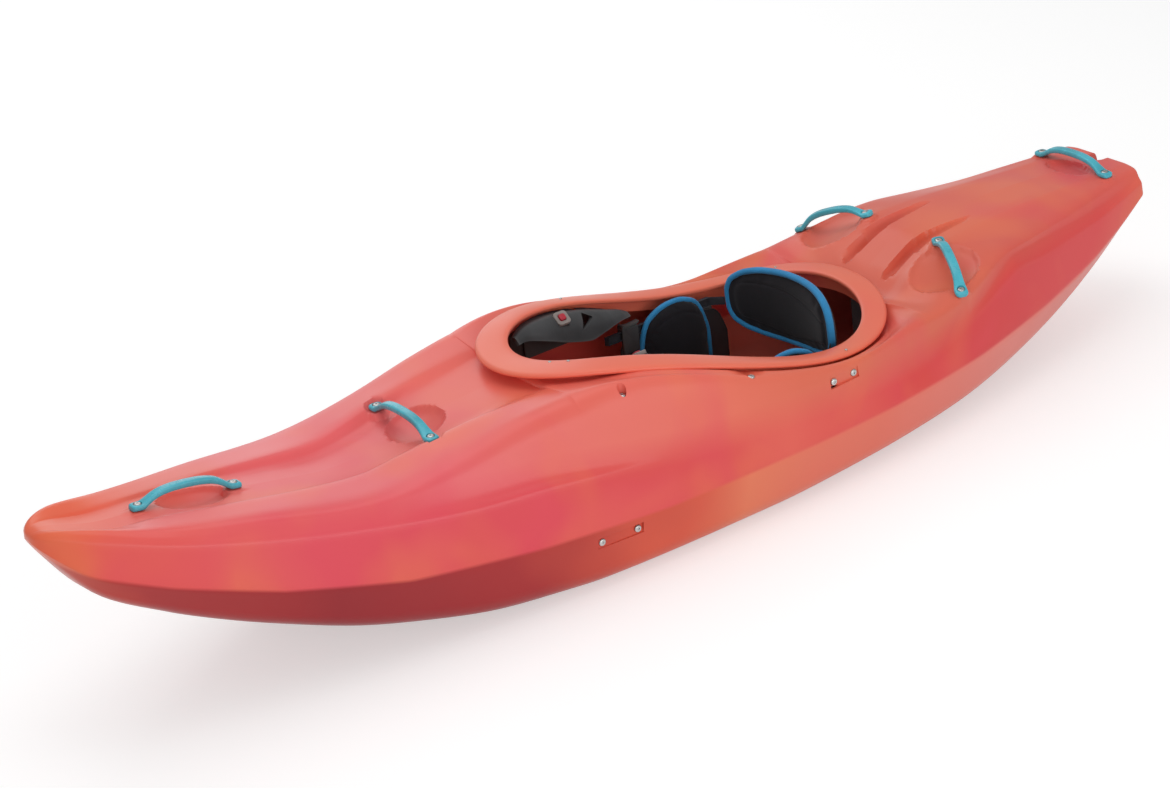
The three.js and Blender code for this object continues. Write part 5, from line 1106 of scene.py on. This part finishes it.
# The plug's socket: a sleeve with a ribbed bore
def make_socket():
    bpy.ops.object.select_all(action="DESELECT")
    outside, bore, rib, ribs, depth = 11.5, 8.8, 0.7, 6, 20
    low = NOTCH_FLOOR - HEAD_GAP - depth
    bpy.ops.mesh.primitive_circle_add(vertices=48, radius=0.0115, location=(0, PLUG_Y * MM, low * MM))
    socket = bpy.context.object
    bpy.ops.object.transform_apply(location=True)
    bpy.ops.object.mode_set(mode="EDIT")
    bpy.ops.mesh.select_all(action="SELECT")
    middle = (0, PLUG_Y * MM, 0)
    bpy.ops.mesh.extrude_edges_move(TRANSFORM_OT_translate={"value": (0, 0, 0.02)})
    bpy.ops.mesh.extrude_edges_move(TRANSFORM_OT_translate={"value": (0, 0, 0)})
    bpy.ops.transform.resize(value=(bore / outside, bore / outside, 1), center_override=middle)
    for k in range(ribs):
        share = (bore + (rib if k % 2 == 0 else 0)) / (bore + (rib if k % 2 else 0))
        bpy.ops.mesh.extrude_edges_move(TRANSFORM_OT_translate={"value": (0, 0, -depth / ribs * MM)})
        if k < ribs - 1:
            bpy.ops.transform.resize(value=(share, share, 1), center_override=middle)
    bpy.ops.mesh.select_mode(type="EDGE")
    bpy.ops.mesh.select_all(action="DESELECT")
    bpy.ops.object.mode_set(mode="OBJECT")
    for e in socket.data.edges:
        e.select = all(socket.data.vertices[i].co.z < (low + 0.1) * MM for i in e.vertices)
    bpy.ops.object.mode_set(mode="EDIT")
    bpy.ops.mesh.bridge_edge_loops()
    bpy.ops.object.mode_set(mode="OBJECT")
    tidy_mesh(socket)
    broken_edges(socket, 0.0003)
    smooth_shade(socket, 40)
    socket.name = "plug_socket"
    finished(socket, "hull", "socket", SOCKET_BLACK, "drain_socket")


make_plug()
make_socket()


# Pieces that keep their solid's outline and get broken edges
def eased(node, name, body, slot, material, width, segments=2, angle=28):
    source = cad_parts[node]
    mesh = source.data.copy()
    mesh.name = name
    mesh.transform(source.matrix_world)
    piece = bpy.data.objects.new(name, mesh)
    bpy.context.collection.objects.link(piece)
    only(piece)
    bpy.ops.object.mode_set(mode="EDIT")
    bpy.ops.mesh.select_all(action="SELECT")
    bpy.ops.mesh.remove_doubles(threshold=MERGE_GAP)
    bpy.ops.mesh.dissolve_limited(angle_limit=math.radians(1))
    bpy.ops.object.mode_set(mode="OBJECT")
    broken_edges(piece, width * MM, segments, angle)
    smooth_shade(piece, 35)
    return finished(piece, body, slot, material, node)


def clear_under_screws(hanger, word):
    """Lowers the bracket's top round the deck screws, clear of their pockets."""
    side = 1 if word == "port" else -1
    for x, y in DECK_SCREWS:
        lowered = deck_seat(x, y) - 6.5
        bpy.ops.object.select_all(action="DESELECT")
        bpy.ops.mesh.primitive_cylinder_add(
            vertices=32, radius=0.03, depth=0.06, location=(side * x * MM, y * MM, (lowered + 30) * MM))
        boolean(hanger, bpy.context.object)
    smooth_shade(hanger, 35)


def under_deck(pillar):
    """Trims a foam pillar's top to stay under the deck and its grooves."""
    foot_height, clearance = 150, 8
    for v in pillar.data.vertices:
        x, y, z = v.co / MM
        if z > foot_height:
            v.co.z = min(z, skin_top(x, y) - clearance) * MM


under_deck(eased("front_pillar", "front_foam_pillar", "hull", "grey_foam", PILLAR_FOAM, 4))
under_deck(eased("rear_pillar", "rear_foam_pillar", "hull", "grey_foam", PILLAR_FOAM, 4))
eased("footrest_plate", "footrest_bulkhead", "footrest", "plastic", CHARCOAL, 1.4)
for word in ("port", "starboard"):
    clamp, brace, button, lever = [
        f"{body}_{word}" for body in ("footrest_clamp", "thigh_brace", "brace_button", "ratchet_lever")
    ]
    eased(f"footrest_rail_{word}", f"rail_{word}", "hull", "rail", RAIL_METAL, 0.8)
    eased(clamp, f"wing_clamp_{word}", clamp, "plastic", CHARCOAL, 1.0)
    hanger = eased(f"brace_mount_{word}", f"brace_hanger_{word}", "hull", "plastic", CHARCOAL, 0.9)
    clear_under_screws(hanger, word)
    eased(f"brace_catch_{word}", f"catch_housing_{word}", brace, "catch", CATCH_GREY, 1.6, 3)
    eased(button, f"push_button_{word}", button, "button", BUTTON_RED, 1.2, 3)
    eased(f"seat_hanger_{word}", f"seat_side_frame_{word}", "hull", "plastic", CHARCOAL, 1.0)
    eased(f"ratchet_{word}", f"ratchet_frame_{word}", "seat", "plastic", CHARCOAL, 0.7)
    eased(lever, f"ratchet_arm_{word}", lever, "plastic", CHARCOAL, 0.6)


def power(v, p):
    """A power that keeps the sign: below 1 it squares a circle's corners."""
    return math.copysign(abs(v) ** p, v)


# Seat pan: a moulded bucket between the side frames, by the height of its floor and of its walls
SEAT = [
    (0.07, 0.15, 0.3), (0.085, 0.115, 0.5), (0.11, 0.08, 0.515), (0.15, 0.045, 0.52), (0.2, 0.035, 0.52),
    (0.25, 0.045, 0.51), (0.28, 0.075, 0.46), (0.292, 0.11, 0.36),
]
SEAT_FRONT, SEAT_BACK = SEAT[0][0], SEAT[-1][0]
SEAT_HALF, SEAT_CORNER = 212.0, 46.0


def seat_floor(share):
    return along(SEAT, 1, share) * DECK


def make_seat_pan():
    bpy.ops.object.select_all(action="DESELECT")
    across, lengthwise = 44, 40
    bpy.ops.mesh.primitive_grid_add(x_subdivisions=across, y_subdivisions=lengthwise, size=2)
    pan = bpy.context.object
    pan.name = "seat_bucket"
    for v in pan.data.vertices:
        share = SEAT_FRONT + (SEAT_BACK - SEAT_FRONT) * (v.co.y + 1) / 2
        floor, top = seat_floor(share), along(SEAT, 2, share) * DECK
        corner = min(SEAT_CORNER, (top - floor) * 0.8)
        level, rise = SEAT_HALF - corner, top - floor - corner
        run = level + corner * math.pi / 2 + rise
        gone = abs(v.co.x) * run
        if gone < level:
            x, z = gone, floor
        elif gone < level + corner * math.pi / 2:
            a = (gone - level) / corner
            x, z = level + corner * math.sin(a), floor + corner * (1 - math.cos(a))
        else:
            x, z = SEAT_HALF, floor + corner + gone - level - corner * math.pi / 2
        v.co = Vector((math.copysign(x, v.co.x), share * HALF_LENGTH, z)) * MM
    apply_modifier(pan, "SOLIDIFY", thickness=0.005, offset=-1, use_even_offset=True)
    tidy_mesh(pan)
    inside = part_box("seat_pan")[1].x
    if max(v.co.x for v in pan.data.vertices) > inside + 0.001:
        for v in pan.data.vertices:
            v.co.x *= inside / (inside + 0.005)
    broken_edges(pan, 0.0016, 3)
    smooth_shade(pan, 45)
    finished(pan, "seat", "plastic", SEAT_BLACK, "seat_pan")


make_seat_pan()


# Foam in stretch cloth
SWELL_STEPS = 20


def stuffed(piece, voxel, cap):
    """Fills a cover: the cloth swells under pressure, and each point stops at a cap."""
    apply_modifier(piece, "REMESH", mode="VOXEL", voxel_size=voxel * MM)
    only(piece)
    bpy.ops.object.modifier_add(type="CLOTH")
    cloth = piece.modifiers[-1]
    cloth.settings.quality = 4
    cloth.settings.use_pressure = True
    cloth.settings.uniform_pressure_force = 4
    cloth.settings.effector_weights.gravity = 0
    flat = [v.co.copy() for v in piece.data.vertices]
    for step in range(1, SWELL_STEPS + 1):
        bpy.context.scene.frame_set(step)
    swollen = piece.evaluated_get(bpy.context.evaluated_depsgraph_get())
    grown = [v.co.copy() for v in swollen.data.vertices]
    piece.modifiers.remove(cloth)
    bpy.context.scene.frame_set(1)
    for v, start, end in zip(piece.data.vertices, flat, grown):
        move = end - start
        v.co = start + (move if move.length < cap * MM else move.normalized() * cap * MM)
    piece.data.update()
    apply_modifier(piece, "SUBSURF", levels=1, render_levels=1)
    only(piece)
    bpy.ops.object.shade_smooth()


def stitched(piece, path, depth, width, facing):
    """Presses a sewn channel along a path of points, on the side that faces a direction."""
    normals = [v.normal.copy() for v in piece.data.vertices]
    legs = list(zip(path, path[1:]))

    def away(point, a, b):
        leg = b - a
        t = max(0.0, min(1.0, (point - a).dot(leg) / leg.length_squared))
        return (point - a - leg * t).length

    for v, normal in zip(piece.data.vertices, normals):
        if normal.dot(facing) < 0.25:
            continue
        nearest = min(away(v.co, a, b) for a, b in legs)
        if nearest < 2.5 * width * MM:
            v.co -= normal * depth * MM * math.exp(-((nearest / (width * MM)) ** 2))
    piece.data.update()


def binding(name, path, wide, thick, out_of, closed=True):
    """A flat-bottomed tape sewn round an edge: rings along a path of points, thin along a direction."""
    count = len(path)
    rings = []
    for i, p in enumerate(path):
        before = path[(i - 1) % count] if closed or i else p
        after = path[(i + 1) % count] if closed or i < count - 1 else p
        run = (after - before).normalized()
        thin = (out_of(p) - run * out_of(p).dot(run)).normalized()
        side = run.cross(thin)
        ring = []
        for k in range(12):
            a = 2 * math.pi * k / 12
            across = side * (wide / 2) * power(math.cos(a), 0.8)
            ring.append(p + across + thin * (thick / 2) * power(math.sin(a), 0.9))
        rings.append(ring)
    if closed:
        rings.append(rings[0])
    piece = through(name, rings, closed_ends=not closed)
    only(piece)
    bpy.ops.object.shade_smooth()
    return piece


# Seat pad: foam on the floor of the pan, with a sewn channel under each thigh
PAD_FRONT, PAD_BACK = 0.088, 0.277


def make_seat_pad():
    half = SEAT_HALF - SEAT_CORNER - 3
    rings = []
    for k in range(33):
        share = PAD_FRONT + (PAD_BACK - PAD_FRONT) * k / 32
        base = seat_floor(share) + 5.6
        end = min(k, 32 - k) / 4
        crown = 9.0 * min(1.0, 0.45 + 0.55 * end)
        ring = []
        for n in range(40):
            a = 2 * math.pi * n / 40
            x = half * power(math.cos(a), 0.35) * (1 - 0.05 * max(0.0, 1 - end))
            lift = (power(math.sin(a), 0.5) + 1) / 2
            ring.append(Vector((x, share * HALF_LENGTH, base + crown * lift)))
        rings.append(ring)
    pad = through("seat_cushion", rings)
    stuffed(pad, 5, 2.2)
    up = Vector((0, 0, 1))
    seam_front, seam_back = 0.1, 0.265
    for x in (-88, 88):
        path = []
        for k in range(13):
            share = seam_front + (seam_back - seam_front) * k / 12
            bow = math.copysign(14 * math.sin(math.pi * k / 12), x)
            path.append(Vector((x + bow, share * HALF_LENGTH, seat_floor(share) + 14)) * MM)
        stitched(pad, path, 2.6, 3.2, up)
    finished(pad, "seat", "foam", DARK_FOAM, "seat_pad")


make_seat_pad()


# Hip pads: domes of foam in cloth with blue binding, by thickness and by height along the pad
HIP = [
    (0, 0.4, 0.66), (0.05, 0.65, 0.85), (0.2, 0.92, 0.975), (0.45, 1, 1), (0.7, 0.96, 0.98), (0.9, 0.7, 0.86),
    (1, 0.4, 0.64),
]
HIP_THICK, HIP_FOOT, HIP_HEIGHT = 24, 90, 200


def make_hip_pad(side, word):
    low, high = [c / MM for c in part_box("hip_pad_" + word)]
    wall = SEAT_HALF - 5.6
    rings, path = [], []
    for k in range(37):
        share = (1 - math.cos(math.pi * k / 36)) / 2
        y = low.y + 2 + (high.y - low.y - 4) * share
        round_off = math.sin(math.pi * share)
        thick = HIP_THICK * along(HIP, 1, share) * min(1, 0.4 + 0.6 * round_off ** 0.4)
        top = HIP_FOOT + HIP_HEIGHT * along(HIP, 2, share) * (0.72 + 0.28 * round_off ** 0.35) - 3
        bottom = HIP_FOOT + 3 + HIP_HEIGHT * (1 - along(HIP, 2, share)) * 0.3
        ring = []
        for n in range(28):
            a = 2 * math.pi * n / 28
            z = (top + bottom) / 2 + (top - bottom) / 2 * power(math.sin(a), 0.62)
            x = wall - thick / 2 - thick / 2 * power(math.cos(a), 0.55)
            ring.append(Vector((side * x, y, z)))
        rings.append(ring)
        path.append(Vector((side * (wall - thick * 0.42), y, top - 2)))
    pad = through("hip_cushion_" + word, rings)
    stuffed(pad, 5, 4)
    inward = Vector((-side, 0, 0))
    seam = [Vector((p.x, p.y, p.z - 26)) * MM for p in path[5:-5]]
    for p in seam:
        p.x = side * (wall - HIP_THICK) * MM
    stitched(pad, seam, 2.4, 3.0, inward)
    finished(pad, "seat", "cloth", CLOTH, "hip_pad_" + word)
    drops = (17, 34, 52, 70)
    foot = [Vector((path[1].x, path[1].y - 1, path[1].z - d)) for d in drops[::-1]]
    tail = [Vector((path[-2].x, path[-2].y + 1, path[-2].z - d)) for d in drops]
    edge = [*foot, *path[1:-1], *tail]
    tape = binding("hip_binding_" + word, edge, 12, 12, lambda p: inward, closed=False)
    finished(tape, "seat", None, PIPING)


make_hip_pad(1, "port")
make_hip_pad(-1, "starboard")


# Back band: height and thickness from its middle to its ends, and the slight roll it hangs at
BAND = [(0, 1, 1), (0.3, 0.98, 1), (0.6, 0.92, 0.97), (0.82, 0.78, 0.9), (0.95, 0.56, 0.72), (1, 0.34, 0.4)]
BAND_Y, BAND_Z = 428, 266
BAND_HALF_LONG, BAND_HALF_HIGH, BAND_HALF_THICK, BAND_BEND = 182, 82, 13, 42
BAND_MIDDLE = Vector((0, BAND_Y, BAND_Z))
BAND_TILT = Matrix.Rotation(math.radians(-4), 4, "Y")
BAND_ROLL = Matrix.Translation(BAND_MIDDLE) @ BAND_TILT @ Matrix.Translation(-BAND_MIDDLE)


def band_lean(t):
    """The band's turn toward its ends."""
    return math.atan2(2 * BAND_BEND * t, BAND_HALF_LONG)


def band_place(t, up, out):
    """A point of the back band: along it, up it, and out of its middle toward the paddler."""
    y = BAND_Y - BAND_BEND * t * t
    lean = band_lean(t)
    rounded = 1 if abs(t) < 0.9 else math.cos((abs(t) - 0.9) * 9)
    half = BAND_HALF_HIGH * along(BAND, 1, min(1.0, abs(t))) * rounded
    thick = BAND_HALF_THICK * along(BAND, 2, min(1.0, abs(t)))
    return BAND_ROLL @ Vector((
        t * BAND_HALF_LONG - math.sin(lean) * thick * out, y - math.cos(lean) * thick * out,
        BAND_Z + half * up))


def make_back_band():
    rings = []
    for k in range(49):
        t = -math.cos(math.pi * k / 48)
        ring = []
        for n in range(32):
            a = 2 * math.pi * n / 32
            out = power(math.cos(a), 0.85) * (1 - 0.2 * abs(math.sin(a)))
            ring.append(band_place(t, power(math.sin(a), 0.6), out))
        rings.append(ring)
    band = through("back_band_pad", rings)
    stuffed(band, 5, 3)
    toward = Vector((0, -1, 0))
    seam = [band_place(-0.86 + 1.72 * k / 30, 0.62 - 0.42 * (k / 30) ** 2, 1.0) * MM for k in range(31)]
    stitched(band, seam, 2.6, 3.0, toward)
    lower = [
        band_place(-0.8 + 1.6 * k / 24, -0.66 + 0.08 * math.cos(math.pi * k / 12), 1.0) * MM
        for k in range(25)
    ]
    stitched(band, lower, 1.6, 2.6, toward)
    finished(band, "backband", "cloth", CLOTH, "backband")
    edge = []
    for k in range(64):
        a = 2 * math.pi * k / 64
        edge.append(band_place(0.975 * power(math.cos(a), 0.8), 0.96 * power(math.sin(a), 0.14), 0.12))

    def facing(p):
        lean = band_lean(max(-1.0, min(1.0, p.x / BAND_HALF_LONG)))
        return Vector((-math.sin(lean), -math.cos(lean), 0))

    tape = binding("back_band_binding", edge, 13, 17, facing)
    finished(tape, "backband", None, PIPING)


make_back_band()


# Straps of the back band
def make_strap(side, word):
    """Webbing on edge: straight back from the ratchet, then bent in to the end of the band."""
    strap_z, strap_x, half_width = 247.5, SEAT_HALF - 2.5, 9.6
    low, high = [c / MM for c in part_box("backband_strap_" + word)]
    line = [(strap_x, low.y), (strap_x, high.y - 30), (strap_x - 8, high.y - 24), (180.5, high.y - 0.4)]
    bpy.ops.object.select_all(action="DESELECT")
    bpy.ops.mesh.primitive_plane_add(size=1)
    strap = bpy.context.object
    strap.name = "strap_" + word
    for v in strap.data.vertices:
        share = 0 if v.co.x < 0 else 1
        x, y = line[share]
        v.co = Vector((side * x, y, strap_z + math.copysign(half_width, v.co.y))) * MM
    for start, end in zip(line[1:], line[2:]):
        far = start[1] * MM
        for v in strap.data.vertices:
            v.select = abs(v.co.y - far) < 1e-5
        for e in strap.data.edges:
            e.select = all(strap.data.vertices[i].select for i in e.vertices)
        bpy.ops.object.mode_set(mode="EDIT")
        bpy.ops.mesh.select_mode(type="EDGE")
        bpy.ops.mesh.extrude_edges_move(TRANSFORM_OT_translate={
            "value": (side * (end[0] - start[0]) * MM, (end[1] - start[1]) * MM, 0)})
        bpy.ops.object.mode_set(mode="OBJECT")
    apply_modifier(strap, "SOLIDIFY", thickness=0.0017, offset=0)
    broken_edges(strap, 0.0005)
    smooth_shade(strap, 40)
    finished(strap, "backband", "webbing", WEBBING, "backband_strap_" + word)


make_strap(1, "port")
make_strap(-1, "starboard")


# Thigh braces: a curved blade, its tab in the bracket, and the flat seat of the catch
BLADE_PLACES = [-0.155, -0.135, -0.1, -0.055, -0.015, 0.02, 0.05, 0.075, 0.092]
BLADE = [
    [(-0.1, -0.46), (-0.05, -0.42), (0.04, -0.42), (0.14, -0.47), (0.25, -0.56)],
    [(-0.16, -0.36), (-0.02, -0.34), (0.12, -0.33), (0.28, -0.43), (0.35, -0.6)],
    [(-0.2, -0.32), (0.02, -0.3), (0.34, -0.25), (0.7, -0.42), (0.85, -0.72)],
    [(-0.22, -0.3), (0.04, -0.28), (0.4, -0.22), (0.8, -0.45), (1, -0.92)],
    [(-0.22, -0.3), (0.05, -0.28), (0.42, -0.22), (0.82, -0.48), (1, -0.98)],
    [(-0.2, -0.32), (0.05, -0.3), (0.4, -0.25), (0.76, -0.46), (0.92, -0.8)],
    [(-0.14, -0.36), (0.1, -0.33), (0.36, -0.28), (0.66, -0.42), (0.8, -0.6)],
    [(0, -0.4), (0.16, -0.34), (0.32, -0.3), (0.5, -0.38), (0.62, -0.5)],
    [(0.06, -0.42), (0.17, -0.39), (0.28, -0.38), (0.39, -0.41), (0.5, -0.46)],
]


BLADE_INSET, BLADE_DROP, BLADE_THICK = 58, 74, 7
CATCH_Y, HOLE_Y = -0.058 * HALF_LENGTH, -0.006 * HALF_LENGTH
HOLE_CORNERS, HOLE_SIZE, HOLE_ROUNDING = [(-1, -0.35), (0.77, 0.12), (-0.31, 0.85)], 26, 0.16
TAB_FRONT, TAB_BACK, TAB_IN, TAB_OUT = -123.1, 25.05, 224.7, 231.7


def blade_place(y, inset, drop):
    """A point of the blade: in from the opening's edge and down from the rim, as shares."""
    c = rim_share(y, 0)
    return Vector((rim_half(c, 0) - inset * BLADE_INSET, y, rim_height(c) + drop * BLADE_DROP))


def block_on_blade(stand, half, low_end, high_end, round_off):
    """A square block with rounded upright edges, stood on the blade."""
    bpy.ops.object.select_all(action="DESELECT")
    bpy.ops.mesh.primitive_cube_add(size=1)
    made = bpy.context.object
    made.data.transform(Matrix.Diagonal((2 * half * MM, 2 * half * MM, (high_end - low_end) * MM, 1)))
    made.data.transform(Matrix.Translation((0, 0, (high_end + low_end) / 2 * MM)))
    only(made)
    bpy.ops.object.mode_set(mode="EDIT")
    bpy.ops.mesh.select_mode(type="EDGE")
    bpy.ops.mesh.select_all(action="DESELECT")
    bpy.ops.object.mode_set(mode="OBJECT")
    for e in made.data.edges:
        a, b = [made.data.vertices[i].co for i in e.vertices]
        e.select = abs(a.z - b.z) > 1e-6
    bpy.ops.object.mode_set(mode="EDIT")
    bpy.ops.mesh.bevel(offset=round_off * MM, segments=5)
    bpy.ops.object.mode_set(mode="OBJECT")
    made.data.transform(stand)
    return made


def brace_tab():
    """The rib that hangs the blade in its bracket."""
    tab_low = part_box("thigh_brace_port")[0].z / MM
    rings = []
    for k in range(4):
        y = TAB_FRONT + (TAB_BACK - TAB_FRONT) * k / 3
        edge = blade_place(y, -0.2, -0.64)
        section = [
            (TAB_IN, tab_low), (TAB_OUT, tab_low), (TAB_OUT, edge.z - 3.5), (edge.x + 2, edge.z + 1),
            (edge.x - 12, edge.z + 26), (edge.x - 19, edge.z + 24), (edge.x - 12, edge.z - 2),
            (TAB_IN, edge.z - 14),
        ]
        rings.append([Vector((x, y, z)) for x, z in section])
    return through("brace_tab", rings)


def brace_hole():
    """A three-cornered hole with rounded corners."""
    hole_z = blade_place(HOLE_Y, 0.6, -0.45).z
    outline = []
    for n, corner in enumerate(HOLE_CORNERS):
        before, after = HOLE_CORNERS[n - 1], HOLE_CORNERS[(n + 1) % 3]
        start = [p + (q - p) * HOLE_ROUNDING for p, q in zip(corner, before)]
        end = [p + (q - p) * HOLE_ROUNDING for p, q in zip(corner, after)]
        for k in range(5):
            t = k / 4
            outline.append([
                (1 - t) ** 2 * s + 2 * t * (1 - t) * h + t * t * e for s, h, e in zip(start, corner, end)])
    return through("brace_hole", [
        [Vector((x, HOLE_Y + a * HOLE_SIZE, hole_z + b * HOLE_SIZE)) for a, b in outline] for x in (60, 211)
    ])


def make_brace(side, word):
    bpy.ops.object.select_all(action="DESELECT")
    bpy.ops.mesh.primitive_grid_add(x_subdivisions=24, y_subdivisions=44, size=2)
    blade = bpy.context.object
    blade.name = "brace_blade_" + word
    columns = [
        [(place, row[n][0], row[n][1]) for place, row in zip(BLADE_PLACES, BLADE)] for n in range(5)
    ]
    for v in blade.data.vertices:
        share = BLADE_PLACES[0] + (BLADE_PLACES[-1] - BLADE_PLACES[0]) * (v.co.y + 1) / 2
        across = (v.co.x + 1) / 2
        row = [(n / 4, along(columns[n], 1, share), along(columns[n], 2, share)) for n in range(5)]
        v.co = blade_place(share * HALF_LENGTH, along(row, 1, across), along(row, 2, across)) * MM
    apply_modifier(blade, "SOLIDIFY", thickness=BLADE_THICK * MM, offset=0, use_even_offset=True)
    tidy_mesh(blade)
    high, low = blade_place(CATCH_Y, 0.4, -0.22), blade_place(CATCH_Y, 0.8, -0.45)
    lean = math.atan2(high.z - low.z, high.x - low.x)
    axis = Vector((-math.sin(lean), 0, math.cos(lean)))
    place = (high + low) / 2
    turn = Vector((0, 0, 1)).rotation_difference(axis).to_matrix().to_4x4()
    stand = Matrix.Translation(place * MM) @ turn
    boolean(blade, brace_tab(), "UNION")
    half, seat_top, round_off = 17, 4.5, 6.4
    boolean(blade, block_on_blade(stand, half, -3.5, seat_top, round_off), "UNION")
    boolean(blade, block_on_blade(stand, half, seat_top, 18, round_off))
    bpy.ops.object.select_all(action="DESELECT")
    bpy.ops.mesh.primitive_cylinder_add(vertices=24, radius=0.005, depth=0.028)
    well = bpy.context.object
    well.data.transform(stand)
    boolean(blade, well)
    boolean(blade, brace_hole())
    broken_edges(blade, 0.0012, 3, 42)
    if side < 0:
        blade.data.transform(Matrix.Diagonal((-1, 1, 1, 1)))
        tidy_mesh(blade)
    smooth_shade(blade, 38)
    finished(blade, f"thigh_brace_{word}", "plastic", CHARCOAL, f"thigh_brace_{word}")


make_brace(1, "port")
make_brace(-1, "starboard")


# Foam face of the footrest
def make_foot_foam():
    foam = eased("footrest_foam", "footrest_pad", "footrest", "foam", DARK_FOAM, 7, 4, 40)
    stuffed(foam, 6, 2)


make_foot_foam()


# Camera, floor and light
CAMERA_ANGLES = (0.99943, 0.44891, -0.117388)
CAMERA_PLACE = (4.38522, -2.94892, 2.77719)
CAMERA_LENS = 86.05


def make_camera():
    yaw, pitch, roll = CAMERA_ANGLES
    back = Vector((math.sin(yaw) * math.cos(pitch), -math.cos(yaw) * math.cos(pitch), math.sin(pitch)))
    right = (-back).cross(Vector((0, 0, 1))).normalized()
    up = right.cross(-back)
    c, s = math.cos(roll), math.sin(roll)
    turned_right, turned_up = right * c + up * s, up * c - right * s
    data = bpy.data.cameras.new("camera")
    data.sensor_fit = "HORIZONTAL"
    data.sensor_width = 36
    data.lens = CAMERA_LENS
    data.clip_end = 100
    camera = bpy.data.objects.new("camera", data)
    bpy.context.collection.objects.link(camera)
    matrix = Matrix((turned_right, turned_up, back)).transposed().to_4x4()
    matrix.translation = Vector(CAMERA_PLACE)
    camera.matrix_world = matrix
    bpy.context.scene.camera = camera


def area_light(name, place, target, size, watts):
    data = bpy.data.lights.new(name, "AREA")
    data.shape = "RECTANGLE"
    data.size, data.size_y = size
    data.energy = watts
    lamp = bpy.data.objects.new(name, data)
    bpy.context.collection.objects.link(lamp)
    lamp.location = place
    lamp.rotation_euler = (Vector(target) - Vector(place)).to_track_quat("-Z", "Y").to_euler()


def make_floor():
    """A pale floor that takes the shadow and shows near white to the eye and in gloss."""
    grey, glow_strength = 0.7, 0.45
    bpy.ops.object.select_all(action="DESELECT")
    bpy.ops.mesh.primitive_plane_add(size=60, location=(0, 0, -0.0008))
    floor = bpy.context.object
    floor.name = "studio_floor"
    material = bpy.data.materials.new("pale_floor")
    material.use_nodes = True
    tree = material.node_tree
    tree.nodes.clear()
    out = tree.nodes.new("ShaderNodeOutputMaterial")
    diffuse = tree.nodes.new("ShaderNodeBsdfDiffuse")
    diffuse.inputs["Color"].default_value = (grey, grey, grey, 1)
    glow = tree.nodes.new("ShaderNodeEmission")
    path = tree.nodes.new("ShaderNodeLightPath")
    seen = tree.nodes.new("ShaderNodeMath")
    seen.operation = "MAXIMUM"
    tree.links.new(path.outputs["Is Camera Ray"], seen.inputs[0])
    tree.links.new(path.outputs["Is Glossy Ray"], seen.inputs[1])
    strength = tree.nodes.new("ShaderNodeMath")
    strength.operation = "MULTIPLY"
    strength.inputs[1].default_value = glow_strength
    tree.links.new(seen.outputs[0], strength.inputs[0])
    tree.links.new(strength.outputs[0], glow.inputs["Strength"])
    both = tree.nodes.new("ShaderNodeAddShader")
    tree.links.new(diffuse.outputs[0], both.inputs[0])
    tree.links.new(glow.outputs[0], both.inputs[1])
    tree.links.new(both.outputs[0], out.inputs["Surface"])
    floor.data.materials.append(material)


def make_light():
    """A white room at half strength, seen as plain white, and four soft lamps."""
    world = bpy.data.worlds.new("studio")
    bpy.context.scene.world = world
    world.use_nodes = True
    nodes, links = world.node_tree.nodes, world.node_tree.links
    background = nodes["Background"]
    background.inputs["Color"].default_value = (1, 1, 1, 1)
    sky = nodes.new("ShaderNodeLightPath")
    level = nodes.new("ShaderNodeMapRange")
    level.inputs["To Min"].default_value = 0.5
    level.inputs["To Max"].default_value = 1.0
    links.new(sky.outputs["Is Camera Ray"], level.inputs["Value"])
    links.new(level.outputs[0], background.inputs["Strength"])
    area_light("overhead", (-0.7, -0.2, 4.2), (0, 0, 0.2), (2.6, 5.0), 52)
    area_light("bow_side", (3.6, -4.2, 2.6), (0, -0.4, 0.2), (2.2, 2.2), 20)
    area_light("near_side", (5.0, -0.4, 1.5), (0, 0, 0.2), (6.0, 2.0), 80)
    area_light("far_side", (-3.8, 1.2, 2.4), (0, 0.2, 0.3), (2.0, 4.0), 26)
    bpy.context.scene.view_settings.view_transform = "Standard"


make_camera()
make_floor()
make_light()
